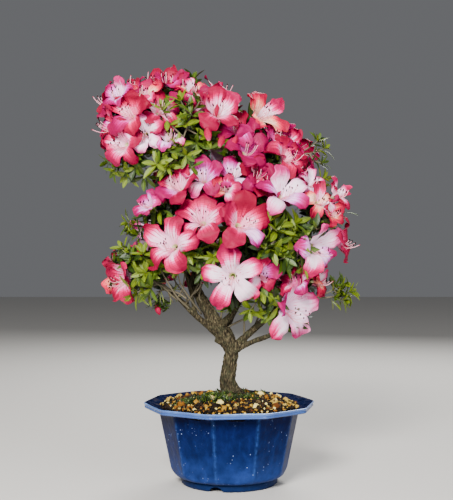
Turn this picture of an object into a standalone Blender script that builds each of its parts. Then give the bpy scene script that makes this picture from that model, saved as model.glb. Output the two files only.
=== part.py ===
"""An azalea bonsai in flower, in a ten-sided glazed pot, modelled in Blender 4.5.

The plant stands in the pot's soil: a short trunk, its main boughs, and masses of leaves and large blooms.
The origin is the middle of the pot's flat underside, +Z is up and the plant is seen from the -Y side.
Lengths here are in millimetres, and add_solid turns them into metres.
"""
import math
import random

import bmesh
import bpy
from mathutils import Vector
from mathutils.bvhtree import BVHTree
from mathutils.geometry import delaunay_2d_cdt

MM = 0.001
GAP = 0.3                 # clearance between solids that touch
SHARP_ANGLE = math.radians(50)
FRONT = Vector((0, -1, 0))
UP = Vector((0, 0, 1))

# Pot: a ten-sided tapering body on a round foot, with a lip that flares all round
POT_SIDES = 10
ROUND_SIDES = 32
POT_TURN = math.radians(-13.0)      # from straight ahead to the pot's front corner
POT_HEIGHT = 80.5
RIM_RADIUS = 86.0
RIM_BAND = 5.2                      # height of the rim's upright edge
RIM_LEAN = 1.0                      # the edge leans out this far over that height
RIM_ROUND = (1.6, 0.6)              # the rim's inner edge lies this far in and this far down
LIP_OUTER = 70.8                    # body radius under the lip
LIP_INNER = 65.5                    # mouth radius, at the foot of the lip's slope
LIP_DROP = 7.0                      # the lip's slope falls this far to the mouth
LIP_FLARE_Z = 72.0                  # the lip leaves the body here
BODY_FOOT_RADIUS = 57.0
BODY_FOOT_Z = 6.5
PANEL_END_Z = 7.6                   # the panels end here at their middles
PANEL_END_RADIUS = 50.5
PANEL_CORNER_Z = 14.0               # and here at their corners
PANEL_BULGE = 0.6                   # how far the rounding between those two stands out
CAVITY_FLOOR_Z = 15.0
CAVITY_FLOOR_RADIUS = 47.0
FOOT_RADIUS = 48.0
FOOT_HEIGHT = 10.0
FOOT_BEVEL = (0.8, 1.2)             # the foot's lower edge is cut back this far in and this far up
FOOT_ARCHES = 3
FOOT_ARCH_TURN = math.radians(-16)
FOOT_ARCH_RADIUS = 8.0
FOOT_ARCH_HEIGHT = 5.0
FOOT_ARCH_DEPTH = 11.0
ARCH_SIDES = 20
DRAIN_SIDES = 16
BEYOND = 10.0                       # how far a cutter runs past what it cuts
DRAIN_RADIUS = 6.0
DRAIN_OFFSET = 24.0

# Soil: fills the pot and is heaped towards the trunk, with the larger stones standing out of it
SOIL_EDGE_RADIUS = 72.0
LIP_SLOPE = LIP_DROP / (RIM_RADIUS - LIP_INNER)
SOIL_EDGE_Z = POT_HEIGHT - LIP_DROP + LIP_SLOPE * (SOIL_EDGE_RADIUS - LIP_INNER) + 2 * GAP
SOIL_TOP_Z = 87.6
SOIL_FLAT_RADIUS = 15.0
SOIL_SHOULDERS = [(25.0, 86.2), (42.0, 83.4), (62.0, 79.6)]
SOIL_BACK_FALL = 0.035              # the heap sinks by this share of the distance behind the trunk
STONES = 40
STONE_FIELD = (23.0, 62.0)          # the stones lie between these distances from the trunk
STONE_RADIUS = 4.4
STONE_SIDES = 4
STONE_HEIGHT = 3.8
STONE_TILT = 1.0                    # a stone's peak lies this far off its middle
MERGE_DISTANCE = 0.001

# Trunk: centre line and radius, from the soil to the tip inside the foliage
TRUNK_Z = SOIL_TOP_Z + GAP
TRUNK = [
    (2.4, 0, TRUNK_Z, 7.8), (-0.2, 0, 94.5, 7.6), (-1.8, 0, 103, 7.2), (0.0, 0, 116, 7.1),
    (1.9, 0, 128, 6.7), (0.0, 0, 137, 7.6), (-5.5, 0, 146.5, 8.2), (-11.5, 0, 154.5, 8.1),
    (-19.5, 1, 168, 6.4), (-26.5, 2, 179, 5.8), (-32.5, 4, 191, 5.0), (-34, 8, 206, 4.6),
    (-28, 12, 229, 4.2), (-19, 14, 257, 3.7), (-13, 14, 287, 3.2), (-18, 12, 315, 2.6),
    (-30, 8, 338, 2.0), (-34, 6, 347, 1.7),
]
TRUNK_SIDES = 8
ROOT_FLARE = 3.8                    # the roots widen the trunk's foot by this much
ROOT_FLARE_HEIGHT = 7.0
ROOT_RIDGES = 4
ROOT_TURN = 0.6
ROOT_HOLLOW = 0.9                   # between the ridges this share of the flare is missing
STUB = [(-8, -1, 140.0, 2.8), (-15.0, -2, 142.6, 2.0)]      # a cut shoot on the trunk's left

# Boughs: centre line and radius, from inside the limb that carries it to its tip in a mass
BOUGHS = {
    "bough_right": [(1, 0, 130, 4.0), (8, -3, 138, 3.8), (20.5, -7, 149.5, 3.4), (35.5, -12, 164, 3.1),
                    (50, -14, 183, 2.8), (63, -10, 207, 2.3), (70, -7, 222, 2.0)],
    "bough_low_right": [(0, -2, 127, 3.0), (9, -5, 133.0, 2.9), (20.5, -9, 139.8, 2.6),
                        (34.5, -11, 145.0, 2.4), (44, -11, 149.5, 2.2), (53, -10, 157, 1.9)],
    "bough_centre": [(-11, -1, 153, 3.8), (-5, -6, 160.0, 3.6), (2.5, -10, 169.0, 3.1), (8, -12, 184, 2.3)],
    "bough_low_left": [(-14, -1, 149, 3.6), (-22.5, -5, 157.5, 3.1), (-34.0, -9, 167.0, 2.8),
                       (-48, -12, 181.5, 2.3), (-58, -12, 190, 1.9)],
    "bough_left": [(-33.5, -8.8, 166.5, 2.1), (-36.5, -8, 181, 1.9), (-41, -7, 200, 1.7),
                   (-46, -7, 217, 1.5)],
    "bough_middle": [(-26, 12.3, 236, 2.8), (-12, 7, 245, 2.5), (4, 1, 254, 2.0)],
    "bough_middle_left": [(-18, 14, 262, 2.5), (-25, 8, 274, 2.2), (-32, 2, 286, 1.8)],
    "bough_upper_right": [(-13, 14, 285, 2.6), (2, 9, 302, 2.3), (17, 3, 318, 1.8)],
    "bough_upper_left": [(-15, 13.5, 300, 2.4), (-36, 8, 317, 2.1), (-59, 2, 333, 1.7)],
    "bough_back_top": [(-19, 11.5, 317, 2.0), (-27, 22, 330, 1.8), (-34, 31, 340, 1.5)],
    "bough_back_right": [(-13.5, 14, 291, 2.6), (6, 22, 301, 2.2), (22, 31, 307, 1.7)],
    "bough_back_middle": [(-23, 13, 245, 2.6), (-25, 24, 258, 2.2), (-26, 34, 267, 1.7)],
    "bough_back_low_left": [(-28, 2.2, 182, 3.2), (-36, 13, 196, 2.8), (-45, 25, 208, 2.0)],
    "bough_back_low_right": [(-6, 0, 147, 3.6), (4, 12, 168, 3.0), (18, 24, 192, 2.5), (26, 31, 205, 1.9)],
}
BOUGH_SIDES = 6

# Foliage: each mass fills an oval round its centre and grows from one stem at the tip of the limb named.
# A bloom is a throat's place, the way it faces (degrees right of straight ahead, degrees up) and its scale.
MASSES = {
    "foliage_upper_left": dict(
        limb="bough_upper_left", centre=(-91, -3, 352), radii=(41, 44, 44), rosettes=6, blooms=[
            ((-104, -30, 337), -35, -12, 0.95), ((-119, -4, 355), -85, 5, 0.85),
            ((-77, -44, 335), 5, -12, 0.9), ((-98, -14, 381), -50, 40, 0.85),
            ((-70, -38, 363), 15, 8, 0.85), ((-82, 12, 397), -10, 50, 0.75)]),
    "foliage_top": dict(
        limb="trunk", centre=(-36, -4, 368), radii=(46, 42, 42), rosettes=7, blooms=[
            ((-61, -4, 402), -30, 65, 0.85), ((-31, -12, 391), 25, 60, 0.65),
            ((-12, -34, 364), 0, 12, 1.12),
            ((-12, 10, 388), 60, 50, 0.85), ((-56, 28, 388), -150, 50, 0.8)]),
    "foliage_upper_right": dict(
        limb="bough_upper_right", centre=(34, -6, 334), radii=(50, 44, 44), rosettes=7, blooms=[
            ((30, -6, 366), 45, 30, 1.02), ((6, -18, 338), -20, 30, 0.85), ((18, -36, 315), 40, 5, 1.0),
            ((51, -22, 315), 50, 25, 1.0), ((60, 4, 338), 95, 25, 0.8)]),
    "foliage_middle_left": dict(
        limb="bough_middle_left", centre=(-38, -6, 300), radii=(42, 42, 32), rosettes=7, blooms=[
            ((-44, -34, 292), -35, 10, 0.95), ((-16, -34, 287), 5, 40, 0.75),
            ((-14, -24, 314), 5, 25, 0.75)]),
    "foliage_middle": dict(
        limb="bough_middle", centre=(26, -10, 260), radii=(44, 48, 38), rosettes=7, blooms=[
            ((10, -50, 257), 15, 8, 1.12), ((53, -40, 281), 12, 12, 1.0)]),
    "foliage_left": dict(
        limb="bough_left", centre=(-54, -9, 245), radii=(42, 44, 36), rosettes=8, blooms=[
            ((-52, -50, 241), -20, 2, 1.12), ((-28, -34, 263), 0, 25, 0.85),
            ((-76, -18, 275), -60, 45, 0.75)]),
    "foliage_right": dict(
        limb="bough_right", centre=(84, -3, 250), radii=(40, 42, 46), rosettes=7, blooms=[
            ((86, -18, 281), 40, 15, 0.9), ((78, -25, 240), 40, -10, 1.05), ((104, -2, 241), 80, 0, 0.95),
            ((106, -22, 263), 60, 15, 0.65), ((98, 14, 272), 110, 20, 0.85)]),
    "foliage_centre": dict(
        limb="bough_centre", centre=(12, -9, 207), radii=(44, 46, 37), rosettes=9, blooms=[
            ((7, -50, 204), -5, -4, 1.25), ((40, -20, 204), 45, 0, 0.8)]),
    "foliage_low_left": dict(
        limb="bough_low_left", centre=(-84, -6, 204), radii=(45, 36, 34), rosettes=10, blooms=[
            ((-107, -13, 204), -50, -5, 1.0)]),
    "foliage_low_right": dict(
        limb="bough_low_right", centre=(78, -3, 186), radii=(52, 36, 34), rosettes=10, blooms=[
            ((64, -14, 171), 46, -8, 1.1), ((82, 2, 202), 80, 25, 0.85)]),
    "foliage_back_top": dict(
        limb="bough_back_top", centre=(-46, 42, 348), radii=(50, 38, 44), rosettes=7, blooms=[]),
    "foliage_back_right": dict(
        limb="bough_back_right", centre=(40, 42, 316), radii=(48, 38, 44), rosettes=7, blooms=[]),
    "foliage_back_middle": dict(
        limb="bough_back_middle", centre=(-24, 44, 276), radii=(50, 36, 36), rosettes=7, blooms=[]),
    "foliage_back_low_left": dict(
        limb="bough_back_low_left", centre=(-56, 38, 222), radii=(44, 36, 34), rosettes=8, blooms=[]),
    "foliage_back_low_right": dict(
        limb="bough_back_low_right", centre=(36, 40, 228), radii=(50, 36, 40), rosettes=8, blooms=[]),
}
OVAL_REACH = 1.12                   # leaves stay within this much of the oval
REAR_BLOOMS = 4                     # blooms of a back mass
REAR_SPREAD = 70.0                  # they face up to so many degrees off straight out
REAR_FOCUS = 200.0                  # straight out is away from a line this far in front of the mass
REAR_DEPTH = 0.82                   # their throats lie this far out in the oval
REAR_SCALES = (0.9, 1.05)
ROSETTE_TRIES = 400
ROSETTE_SIZES = (0.7, 1.05)         # shares of LEAF_LENGTH
ROSETTE_DEPTHS = (0.35, 0.85)       # how far out in the oval their middles lie
ROSETTE_SPREADS = (0.8, 1.1)        # the angle of their leaves to the twig
SEED = 11
GOLDEN_RATIO = (math.sqrt(5) - 1) / 2
GOLDEN_ANGLE = 2 * math.pi * (1 - GOLDEN_RATIO)

# Bloom: a funnel of five lobes that open out flat
LOBES = 5
BLOOM_RADIUS = 30.0
BLOOM_DEPTH = 20.0                  # from the funnel's foot to the plane of the lobes
LOBE_SINUS = 10.5                   # radius where neighbouring lobes part
LOBE_SIDE = 22.5                    # radius of a lobe's widest place
LOBE_HALF_ANGLE = math.radians(30)
LOBE_CREST = 20.0                   # radius of the middle of a lobe's face
LOBE_KEEL = 12.0                    # radius where a lobe's back leaves the funnel
THROAT_HEIGHT = 4.0                 # of the throat's deepest point over the funnel's foot
SINUS_RISE = -2.5                   # heights over the plane of the lobes
SIDE_RISE = 1.5
TIP_RISE = -1.5
KEEL_RISE = -6.3
FUNNEL_LENGTH = 14.0                # from the funnel's foot to a bloom's stated place in its throat
BLOOM_TRIES = ((0, 1), (4, 1), (0, 0.9), (5, 0.9), (-4, 0.9), (0, 0.8), (6, 0.8), (-5, 0.78), (8, 0.7))

# Leaf: a pointed blade with eight faces
LEAF_LENGTH = 25.0
LEAF_WIDTH = 9.5
LEAF_WIDEST = 0.52                  # where along its length it is widest
LEAF_DROOP = 0.06                   # how far its tip falls, as a share of its length
LEAF_SIZES = (0.85, 1.1)            # lengths within one rosette, as shares of its own size
WHORL_SIZES = (0.8, 1.05)           # lengths behind a bloom, as shares of LEAF_LENGTH
WHORL_TILTS = (0.95, 1.25)          # the angle of those leaves to the twig
WHORL_TRIES = (3, 2, 0)             # leaves behind a bloom, fewer where there is no room
ROSETTE_RISE = 1.4                  # the middle of a rosette stands up this far

# Twig: five-sided, tapering from its fork to its end
TWIG_RADII = (1.3, 1.0, 0.8)
TWIG_ROOT_RADIUS = 1.4
TWIG_BEND = 0.6                     # a twig bends this far along
TWIG_SAG = 0.1                      # and by this share of its length
TWIG_SWERVES = (0, 0.2)             # a second try swerves by up to this share of its length
FORK_PLACE = 0.7                    # it forks this far along its lower half
SHORTEST_TWIG = 7.0
FORKS_TRIED = 8
FORK_CROWDING = 7.0                 # a twig reaches this much further for a fork that one other twig uses
STEM_SIDES = 5
STEM_REACH = 0.8                    # a mass's stem ends this far of the way to the mass's centre
STEM_BEND = 0.45                    # it keeps its limb's direction for this share of its length
STEM_TAPER = 0.9

COLOURS = {
    "pot": ((0.02, 0.07, 0.30), 0.25),
    "soil": ((0.42, 0.30, 0.14), 0.95),
    "bark": ((0.28, 0.25, 0.19), 0.9),
    "foliage": ((0.80, 0.30, 0.38), 0.6),
}


def clear_scene():
    """Removes every object that the new file starts with."""
    for scene_object in list(bpy.data.objects):
        bpy.data.objects.remove(scene_object, do_unlink=True)


def material(slot):
    """The Principled material of a slot, made once."""
    found = bpy.data.materials.get(slot)
    if found:
        return found
    colour, roughness = COLOURS[slot]
    made = bpy.data.materials.new(slot)
    made.use_nodes = True
    shader = made.node_tree.nodes["Principled BSDF"]
    shader.inputs["Base Color"].default_value = (*colour, 1)
    shader.inputs["Roughness"].default_value = roughness
    shader.inputs["Metallic"].default_value = 0
    made.diffuse_color = (*colour, 1)
    return made


def add_solid(name, solid, slot, collection=None):
    """Makes an object of a solid, which is a list of points in millimetres and a list of faces."""
    points, faces = solid
    mesh = bpy.data.meshes.new(name)
    mesh.from_pydata([Vector(point) * MM for point in points], [], faces)
    mesh.materials.append(material(slot))
    made = bpy.data.objects.new(name, mesh)
    (collection or bpy.context.scene.collection).objects.link(made)
    return made


def apply_modifiers(solid_object):
    """Replaces an object's mesh by the one its modifiers give."""
    graph = bpy.context.evaluated_depsgraph_get()
    mesh = bpy.data.meshes.new_from_object(solid_object.evaluated_get(graph))
    solid_object.modifiers.clear()
    solid_object.data = mesh


def boolean(solid_object, cutter, operation, solver="EXACT"):
    """Joins, cuts or trims an object with another, which is then removed."""
    modifier = solid_object.modifiers.new(operation.title(), "BOOLEAN")
    modifier.operation = operation
    modifier.solver = solver
    modifier.object = cutter
    apply_modifiers(solid_object)
    bpy.data.objects.remove(cutter, do_unlink=True)


def ring(radius, z, sides=POT_SIDES, turn=POT_TURN):
    """The corners of a level regular polygon, from the front round to the right."""
    angles = [turn + 2 * math.pi * k / sides for k in range(sides)]
    return [Vector((radius * math.sin(a), -radius * math.cos(a), z)) for a in angles]


def circle(radius, z):
    """The corners of a level ring that reads as round, set between the pot's own corners."""
    return ring(radius, z, ROUND_SIDES, POT_TURN + math.pi / ROUND_SIDES)


def loft(rings):
    """A closed solid through rings of equally many points, listed from the bottom up."""
    count = len(rings[0])
    points = [point for one in rings for point in one]
    faces = [tuple(reversed(range(count)))]
    for level in range(len(rings) - 1):
        low, high = level * count, (level + 1) * count
        for k in range(count):
            after = (k + 1) % count
            faces.append((low + k, low + after, high + after, high + k))
    faces.append(tuple(range((len(rings) - 1) * count, len(points))))
    return points, faces


def catmull(stations, steps):
    """Points along a smooth line through the stations, each a tuple of numbers of any length."""
    ends = [stations[0], *stations, stations[-1]]
    line = []
    for i in range(1, len(ends) - 2):
        for step in range(steps):
            t = step / steps
            weights = (-t + 2 * t ** 2 - t ** 3, 2 - 5 * t ** 2 + 3 * t ** 3,
                       t + 4 * t ** 2 - 3 * t ** 3, t ** 3 - t ** 2)
            line.append(tuple(sum(weight * value for weight, value in zip(weights, values)) / 2
                              for values in zip(*ends[i - 1:i + 3])))
    line.append(tuple(stations[-1]))
    return line


def limb(line, sides, shape=None, level_foot=False):
    """A tapering limb along a line of (x, y, z, radius); shape may widen it by place and angle."""
    centres = [Vector(station[:3]) for station in line]
    side = None
    rings = []
    for i, station in enumerate(line):
        ahead = centres[min(i + 1, len(line) - 1)] - centres[max(i - 1, 0)]
        ahead = UP.copy() if level_foot and i == 0 else ahead.normalized()
        if side is None:
            side = ahead.cross(FRONT if abs(ahead.dot(FRONT)) < 0.9 else UP)
        side = (side - ahead * side.dot(ahead)).normalized()
        across = ahead.cross(side)
        section = []
        for k in range(sides):
            angle = 2 * math.pi * k / sides
            radius = station[3] + (shape(station, angle) if shape else 0)
            section.append(centres[i] + (side * math.cos(angle) + across * math.sin(angle)) * radius)
        rings.append(section)
    return loft(rings)


def shade_round(solid_object):
    """Shades an object smooth, but for its sharp edges."""
    solid_object.data.shade_smooth()
    solid_object.data.set_sharp_from_angle(angle=SHARP_ANGLE)


def swollen(line):
    """The same limb line, wider by the gap that its neighbours keep."""
    return [(*station[:3], station[3] + GAP) for station in line]


def add_pot():
    """The glazed pot: a lofted ten-sided shell with rounded panel ends, on a notched round foot."""
    body = add_solid("pot", loft([
        ring(BODY_FOOT_RADIUS, BODY_FOOT_Z),
        ring(LIP_OUTER, LIP_FLARE_Z),
        ring(RIM_RADIUS - RIM_LEAN, POT_HEIGHT - RIM_BAND),
        ring(RIM_RADIUS, POT_HEIGHT),
    ]), "pot")
    boolean(body, add_solid("bowl", bowl_solid(), "pot"), "INTERSECT")
    foot = loft([circle(FOOT_RADIUS - FOOT_BEVEL[0], 0), circle(FOOT_RADIUS, FOOT_BEVEL[1]),
                 circle(FOOT_RADIUS, FOOT_HEIGHT)])
    boolean(body, add_solid("foot", foot, "pot"), "UNION")
    inner_rim = RIM_RADIUS - RIM_ROUND[0]
    cavity = loft([ring(CAVITY_FLOOR_RADIUS, CAVITY_FLOOR_Z), ring(LIP_INNER, POT_HEIGHT - LIP_DROP),
                   ring(inner_rim, POT_HEIGHT - RIM_ROUND[1]), ring(inner_rim, POT_HEIGHT + BEYOND)])
    boolean(body, add_solid("cavity", cavity, "pot"), "DIFFERENCE")

    arch_z = FOOT_ARCH_HEIGHT - FOOT_ARCH_RADIUS
    reaches = (FOOT_RADIUS - FOOT_ARCH_DEPTH, FOOT_RADIUS + BEYOND)
    for k in range(FOOT_ARCHES):
        angle = FOOT_ARCH_TURN + 2 * math.pi * k / FOOT_ARCHES
        line = [(reach * math.sin(angle), -reach * math.cos(angle), arch_z, FOOT_ARCH_RADIUS)
                for reach in reaches]
        boolean(body, add_solid("arch", limb(line, ARCH_SIDES), "pot"), "DIFFERENCE", "MANIFOLD")
    for side in (-1, 1):
        aside = Vector((side * DRAIN_OFFSET, 0, 0))
        hole = loft([[aside + point for point in ring(DRAIN_RADIUS, z, DRAIN_SIDES)]
                     for z in (-BEYOND, CAVITY_FLOOR_Z + BEYOND)])
        boolean(body, add_solid("drain", hole, "pot"), "DIFFERENCE")
    shade_round(body)


def bowl_solid():
    """A turned bowl that rounds off the lower ends of the ten panels."""
    taper = (LIP_OUTER - BODY_FOOT_RADIUS) / (LIP_FLARE_Z - BODY_FOOT_Z)
    corner_radius = BODY_FOOT_RADIUS + taper * (PANEL_CORNER_Z - BODY_FOOT_Z)
    wide = RIM_RADIUS + BEYOND
    profile = [(PANEL_END_RADIUS, PANEL_END_Z),
               ((PANEL_END_RADIUS + corner_radius) / 2 + PANEL_BULGE,
                0.6 * PANEL_END_Z + 0.4 * PANEL_CORNER_Z),
               (corner_radius + PANEL_BULGE / 3, PANEL_CORNER_Z),
               ((corner_radius + LIP_OUTER) / 2, 2 * PANEL_CORNER_Z),
               (wide, 3 * PANEL_CORNER_Z), (wide, POT_HEIGHT + BEYOND)]
    return loft([circle(radius, z) for radius, z in profile])


def bed_height(x, y):
    """The height of the soil between its stones."""
    distance = math.hypot(x, y)
    slopes = [(SOIL_FLAT_RADIUS, SOIL_TOP_Z), *SOIL_SHOULDERS, (SOIL_EDGE_RADIUS, SOIL_EDGE_Z)]
    fall = SOIL_BACK_FALL * max(0, y)
    for (near, high), (far, low) in zip(slopes, slopes[1:]):
        if distance < far:
            return high + (low - high) * (distance - near) / (far - near) - fall
    return SOIL_EDGE_Z


def stones():
    """The peak and the foot points of each stone, spread evenly over the soil."""
    inner, outer = STONE_FIELD
    for k in range(STONES):
        distance = math.sqrt(inner ** 2 + (outer ** 2 - inner ** 2) * (k + 0.5) / STONES)
        angle = k * GOLDEN_ANGLE
        middle = Vector((distance * math.sin(angle), -distance * math.cos(angle), 0))
        feet = [middle + point for point in ring(STONE_RADIUS, 0, STONE_SIDES, angle)]
        peak = middle + Vector((STONE_TILT * math.cos(angle), STONE_TILT * math.sin(angle), STONE_HEIGHT))
        for point in (peak, *feet):
            point.z += bed_height(point.x, point.y)
        yield [peak, *feet]


def add_soil():
    """The soil, which fills the pot and its lip and is heaped to a flat patch under the trunk."""
    edge = ring(SOIL_EDGE_RADIUS, SOIL_EDGE_Z)
    surface = edge + ring(SOIL_FLAT_RADIUS, SOIL_TOP_Z)
    for stone in stones():
        surface += stone
    flat = [Vector((point.x, point.y)) for point in surface]
    found = delaunay_2d_cdt(flat, [], [list(range(POT_SIDES))], 1, MERGE_DISTANCE)
    order = [sources[0] for sources in found[3]]

    points, faces = loft([ring(CAVITY_FLOOR_RADIUS - 2 * GAP, CAVITY_FLOOR_Z + GAP),
                          ring(LIP_INNER - 2 * GAP, POT_HEIGHT - LIP_DROP + GAP), edge])
    start = len(points) - POT_SIDES
    faces = faces[:-1] + [tuple(start + order[i] for i in face) for face in found[2]]
    add_solid("soil", (points[:start] + surface, faces), "soil")


def root_flare(station, angle):
    """How far the roots stand out of the trunk at a height and an angle."""
    height = station[2] - TRUNK_Z
    hollow = ROOT_HOLLOW * (1 - math.cos(ROOT_RIDGES * angle + ROOT_TURN)) / 2
    return ROOT_FLARE * math.exp(-height / ROOT_FLARE_HEIGHT) * (1 - hollow)


def add_trunk():
    """The trunk with its flare and the stub of a cut shoot."""
    made = add_solid("trunk", limb(catmull(TRUNK, 2), TRUNK_SIDES, root_flare, level_foot=True), "bark")
    boolean(made, add_solid("stub", limb(STUB, BOUGH_SIDES), "bark"), "UNION")
    shade_round(made)
    return made


def add_boughs():
    """Each bough, cut 0.3 mm clear of the trunk and of the boughs made before it."""
    made = {}
    for name, stations in BOUGHS.items():
        bough = add_solid(name, limb(catmull(stations, 2), BOUGH_SIDES), "bark")
        neighbours = [("trunk", TRUNK, TRUNK_SIDES, root_flare)]
        neighbours += [(other, BOUGHS[other], BOUGH_SIDES, None) for other in made]
        for other, line, sides, shape in neighbours:
            cutter = add_solid("cutter", limb(swollen(catmull(line, 2)), sides, shape), "bark")
            if tree_of(bough).overlap(tree_of(cutter)):
                boolean(bough, cutter, "DIFFERENCE")
                keep_main_body(bough)
            else:
                bpy.data.objects.remove(cutter, do_unlink=True)
        shade_round(bough)
        made[name] = bough
    return made


def tree_of(solid_object):
    """A search tree of an object's faces, in millimetres."""
    mesh = solid_object.data
    return BVHTree.FromPolygons([vertex.co / MM for vertex in mesh.vertices],
                                [tuple(polygon.vertices) for polygon in mesh.polygons])


def keep_main_body(solid_object):
    """Drops loose scraps and sealed hollows, so that one closed body is left."""
    mesh = bmesh.new()
    mesh.from_mesh(solid_object.data)
    seen = set()
    bodies = []
    for start in mesh.faces:
        if start in seen:
            continue
        seen.add(start)
        body = []
        waiting = [start]
        while waiting:
            face = waiting.pop()
            body.append(face)
            for edge in face.edges:
                for other in edge.link_faces:
                    if other not in seen:
                        seen.add(other)
                        waiting.append(other)
        bodies.append(body)
    main = max(bodies, key=signed_volume)
    loose = [face for body in bodies if body is not main for face in body]
    bmesh.ops.delete(mesh, geom=loose, context="FACES")
    mesh.to_mesh(solid_object.data)
    mesh.free()


def signed_volume(faces):
    """Six times the volume that faces enclose: negative for a hollow."""
    total = 0.0
    for face in faces:
        corners = [vertex.co for vertex in face.verts]
        for b, c in zip(corners[1:], corners[2:]):
            total += corners[0].dot(b.cross(c))
    return total


def heading(right, up):
    """The direction that lies so many degrees right of straight ahead and so many up."""
    right, up = math.radians(right), math.radians(up)
    return Vector((math.sin(right) * math.cos(up), -math.cos(right) * math.cos(up), math.sin(up)))


def upright(ahead):
    """The direction at right angles to one that lies nearest to straight up."""
    wanted = UP if abs(ahead.z) < 0.95 else FRONT
    return (wanted - ahead * ahead.dot(wanted)).normalized()


class Shoot:
    """A five-sided twig with its leaves and its bloom or rosette, one closed surface made ring by ring."""

    def __init__(self, start, bend, end, ahead, radii):
        centres = [start, bend, end]
        self.points = []
        self.faces = []
        directions = [(bend - start).normalized(), (end - start).normalized(), ahead]
        self.side = upright(ahead)
        sides = [self.side]
        for along in reversed(directions[:-1]):
            sides.append((sides[-1] - along * sides[-1].dot(along)).normalized())
        for centre, along, side, radius in zip(centres, directions, reversed(sides), radii):
            across = along.cross(side)
            for k in range(LOBES):
                angle = 2 * math.pi * (k - 0.5) / LOBES
                self.points.append(centre + (side * math.cos(angle) + across * math.sin(angle)) * radius)
        self.end = end
        self.ahead = ahead
        self.faces.append(tuple(reversed(range(LOBES))))
        self.add_tube(0)
        self.root_faces = len(self.faces)

    def spoke(self, turn):
        """The direction out from the shoot's end, at a number of fifths of a turn."""
        angle = 2 * math.pi * turn / LOBES
        return self.side * math.cos(angle) + self.ahead.cross(self.side) * math.sin(angle)

    def add_tube(self, level, leaves=None):
        """The five faces between two rings; one that leaves names bulges out into a leaf instead."""
        for k in range(LOBES):
            after = (k + 1) % LOBES
            low, high = LOBES * level, LOBES * (level + 1)
            corners = (low + k, low + after, high + after, high + k)
            if leaves and k in leaves:
                self.add_leaf(corners, *leaves[k])
            else:
                self.faces.append(corners)

    def add_leaf(self, corners, direction, length):
        """A pointed leaf of eight faces, out of the four corners of a tube's face."""
        a, b, c, d = corners
        root = sum((self.points[corner] for corner in corners), Vector()) / len(corners)
        across = (self.points[b] - self.points[a]).normalized()
        upper = direction.cross(across).normalized()
        droop = upper * (LEAF_DROOP * length)
        left, right, tip = (len(self.points) + j for j in range(3))
        middle = root + direction * (LEAF_WIDEST * length)
        width = LEAF_WIDTH / LEAF_LENGTH * length / 2
        self.points += [middle - across * width, middle + across * width, root + direction * length - droop]
        self.faces += [(a, b, tip), (a, tip, left), (b, right, tip), (d, tip, c), (d, left, tip),
                       (c, tip, right), (a, left, d), (b, c, right)]

    def add_rosette(self, spread, lengths):
        """Five leaves that open from the shoot's end."""
        ring_start = 2 * LOBES
        centre = len(self.points)
        self.points.append(self.end + self.ahead * ROSETTE_RISE)
        for k in range(LOBES):
            here, after = ring_start + k, ring_start + (k + 1) % LOBES
            spoke = self.spoke(k)
            direction = self.ahead * math.cos(spread) + spoke * math.sin(spread)
            across = self.ahead.cross(spoke)
            length = lengths[k]
            width = LEAF_WIDTH / LEAF_LENGTH * length / 2
            middle = self.end + direction * (LEAF_WIDEST * length)
            left, right, tip = (len(self.points) + j for j in range(3))
            droop = (spoke * math.cos(spread) - self.ahead * math.sin(spread)) * (LEAF_DROOP * length)
            self.points += [middle - across * width, middle + across * width,
                            self.end + direction * length + droop]
            self.faces += [(centre, here, left), (centre, left, tip), (centre, tip, right),
                           (centre, right, after), (here, tip, left), (here, after, tip),
                           (after, right, tip)]

    def add_bloom(self, scale):
        """A funnel that opens into five lobes; the shoot's last ring is its foot."""
        ring_start = 2 * LOBES
        foot = self.end

        def place(radius, turn, depth):
            return foot + (self.spoke(turn) * radius + self.ahead * (BLOOM_DEPTH + depth)) * scale

        throat = len(self.points)
        self.points.append(foot + self.ahead * (THROAT_HEIGHT * scale))
        half = LOBE_HALF_ANGLE * LOBES / (2 * math.pi)
        for k in range(LOBES):
            self.points += [place(LOBE_SINUS, k - 0.5, SINUS_RISE), place(LOBE_SIDE, k - half, SIDE_RISE),
                            place(BLOOM_RADIUS, k, TIP_RISE), place(LOBE_SIDE, k + half, SIDE_RISE),
                            place(LOBE_CREST, k, 0), place(LOBE_KEEL, k, KEEL_RISE)]
        for k in range(LOBES):
            here, after = ring_start + k, ring_start + (k + 1) % LOBES
            sinus, left, tip, right, top, under = (throat + 1 + 6 * k + j for j in range(6))
            next_sinus = throat + 1 + 6 * ((k + 1) % LOBES)
            self.faces += [(throat, sinus, top), (throat, top, next_sinus), (sinus, left, top),
                           (left, tip, top), (tip, right, top), (right, next_sinus, top)]
            self.faces += [(under, left, sinus), (under, tip, left), (under, right, tip),
                           (under, next_sinus, right), (here, after, under), (here, under, sinus),
                           (after, next_sinus, under)]

    def solid(self):
        """The points and faces of the whole shoot."""
        return self.points, self.faces

    def tree(self):
        """A search tree of the whole shoot."""
        return BVHTree.FromPolygons(self.points, self.faces)

    def free_tree(self):
        """A search tree of the shoot without its root, which is sunk into the twig that bears it."""
        return BVHTree.FromPolygons(self.points, self.faces[self.root_faces:])


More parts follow.
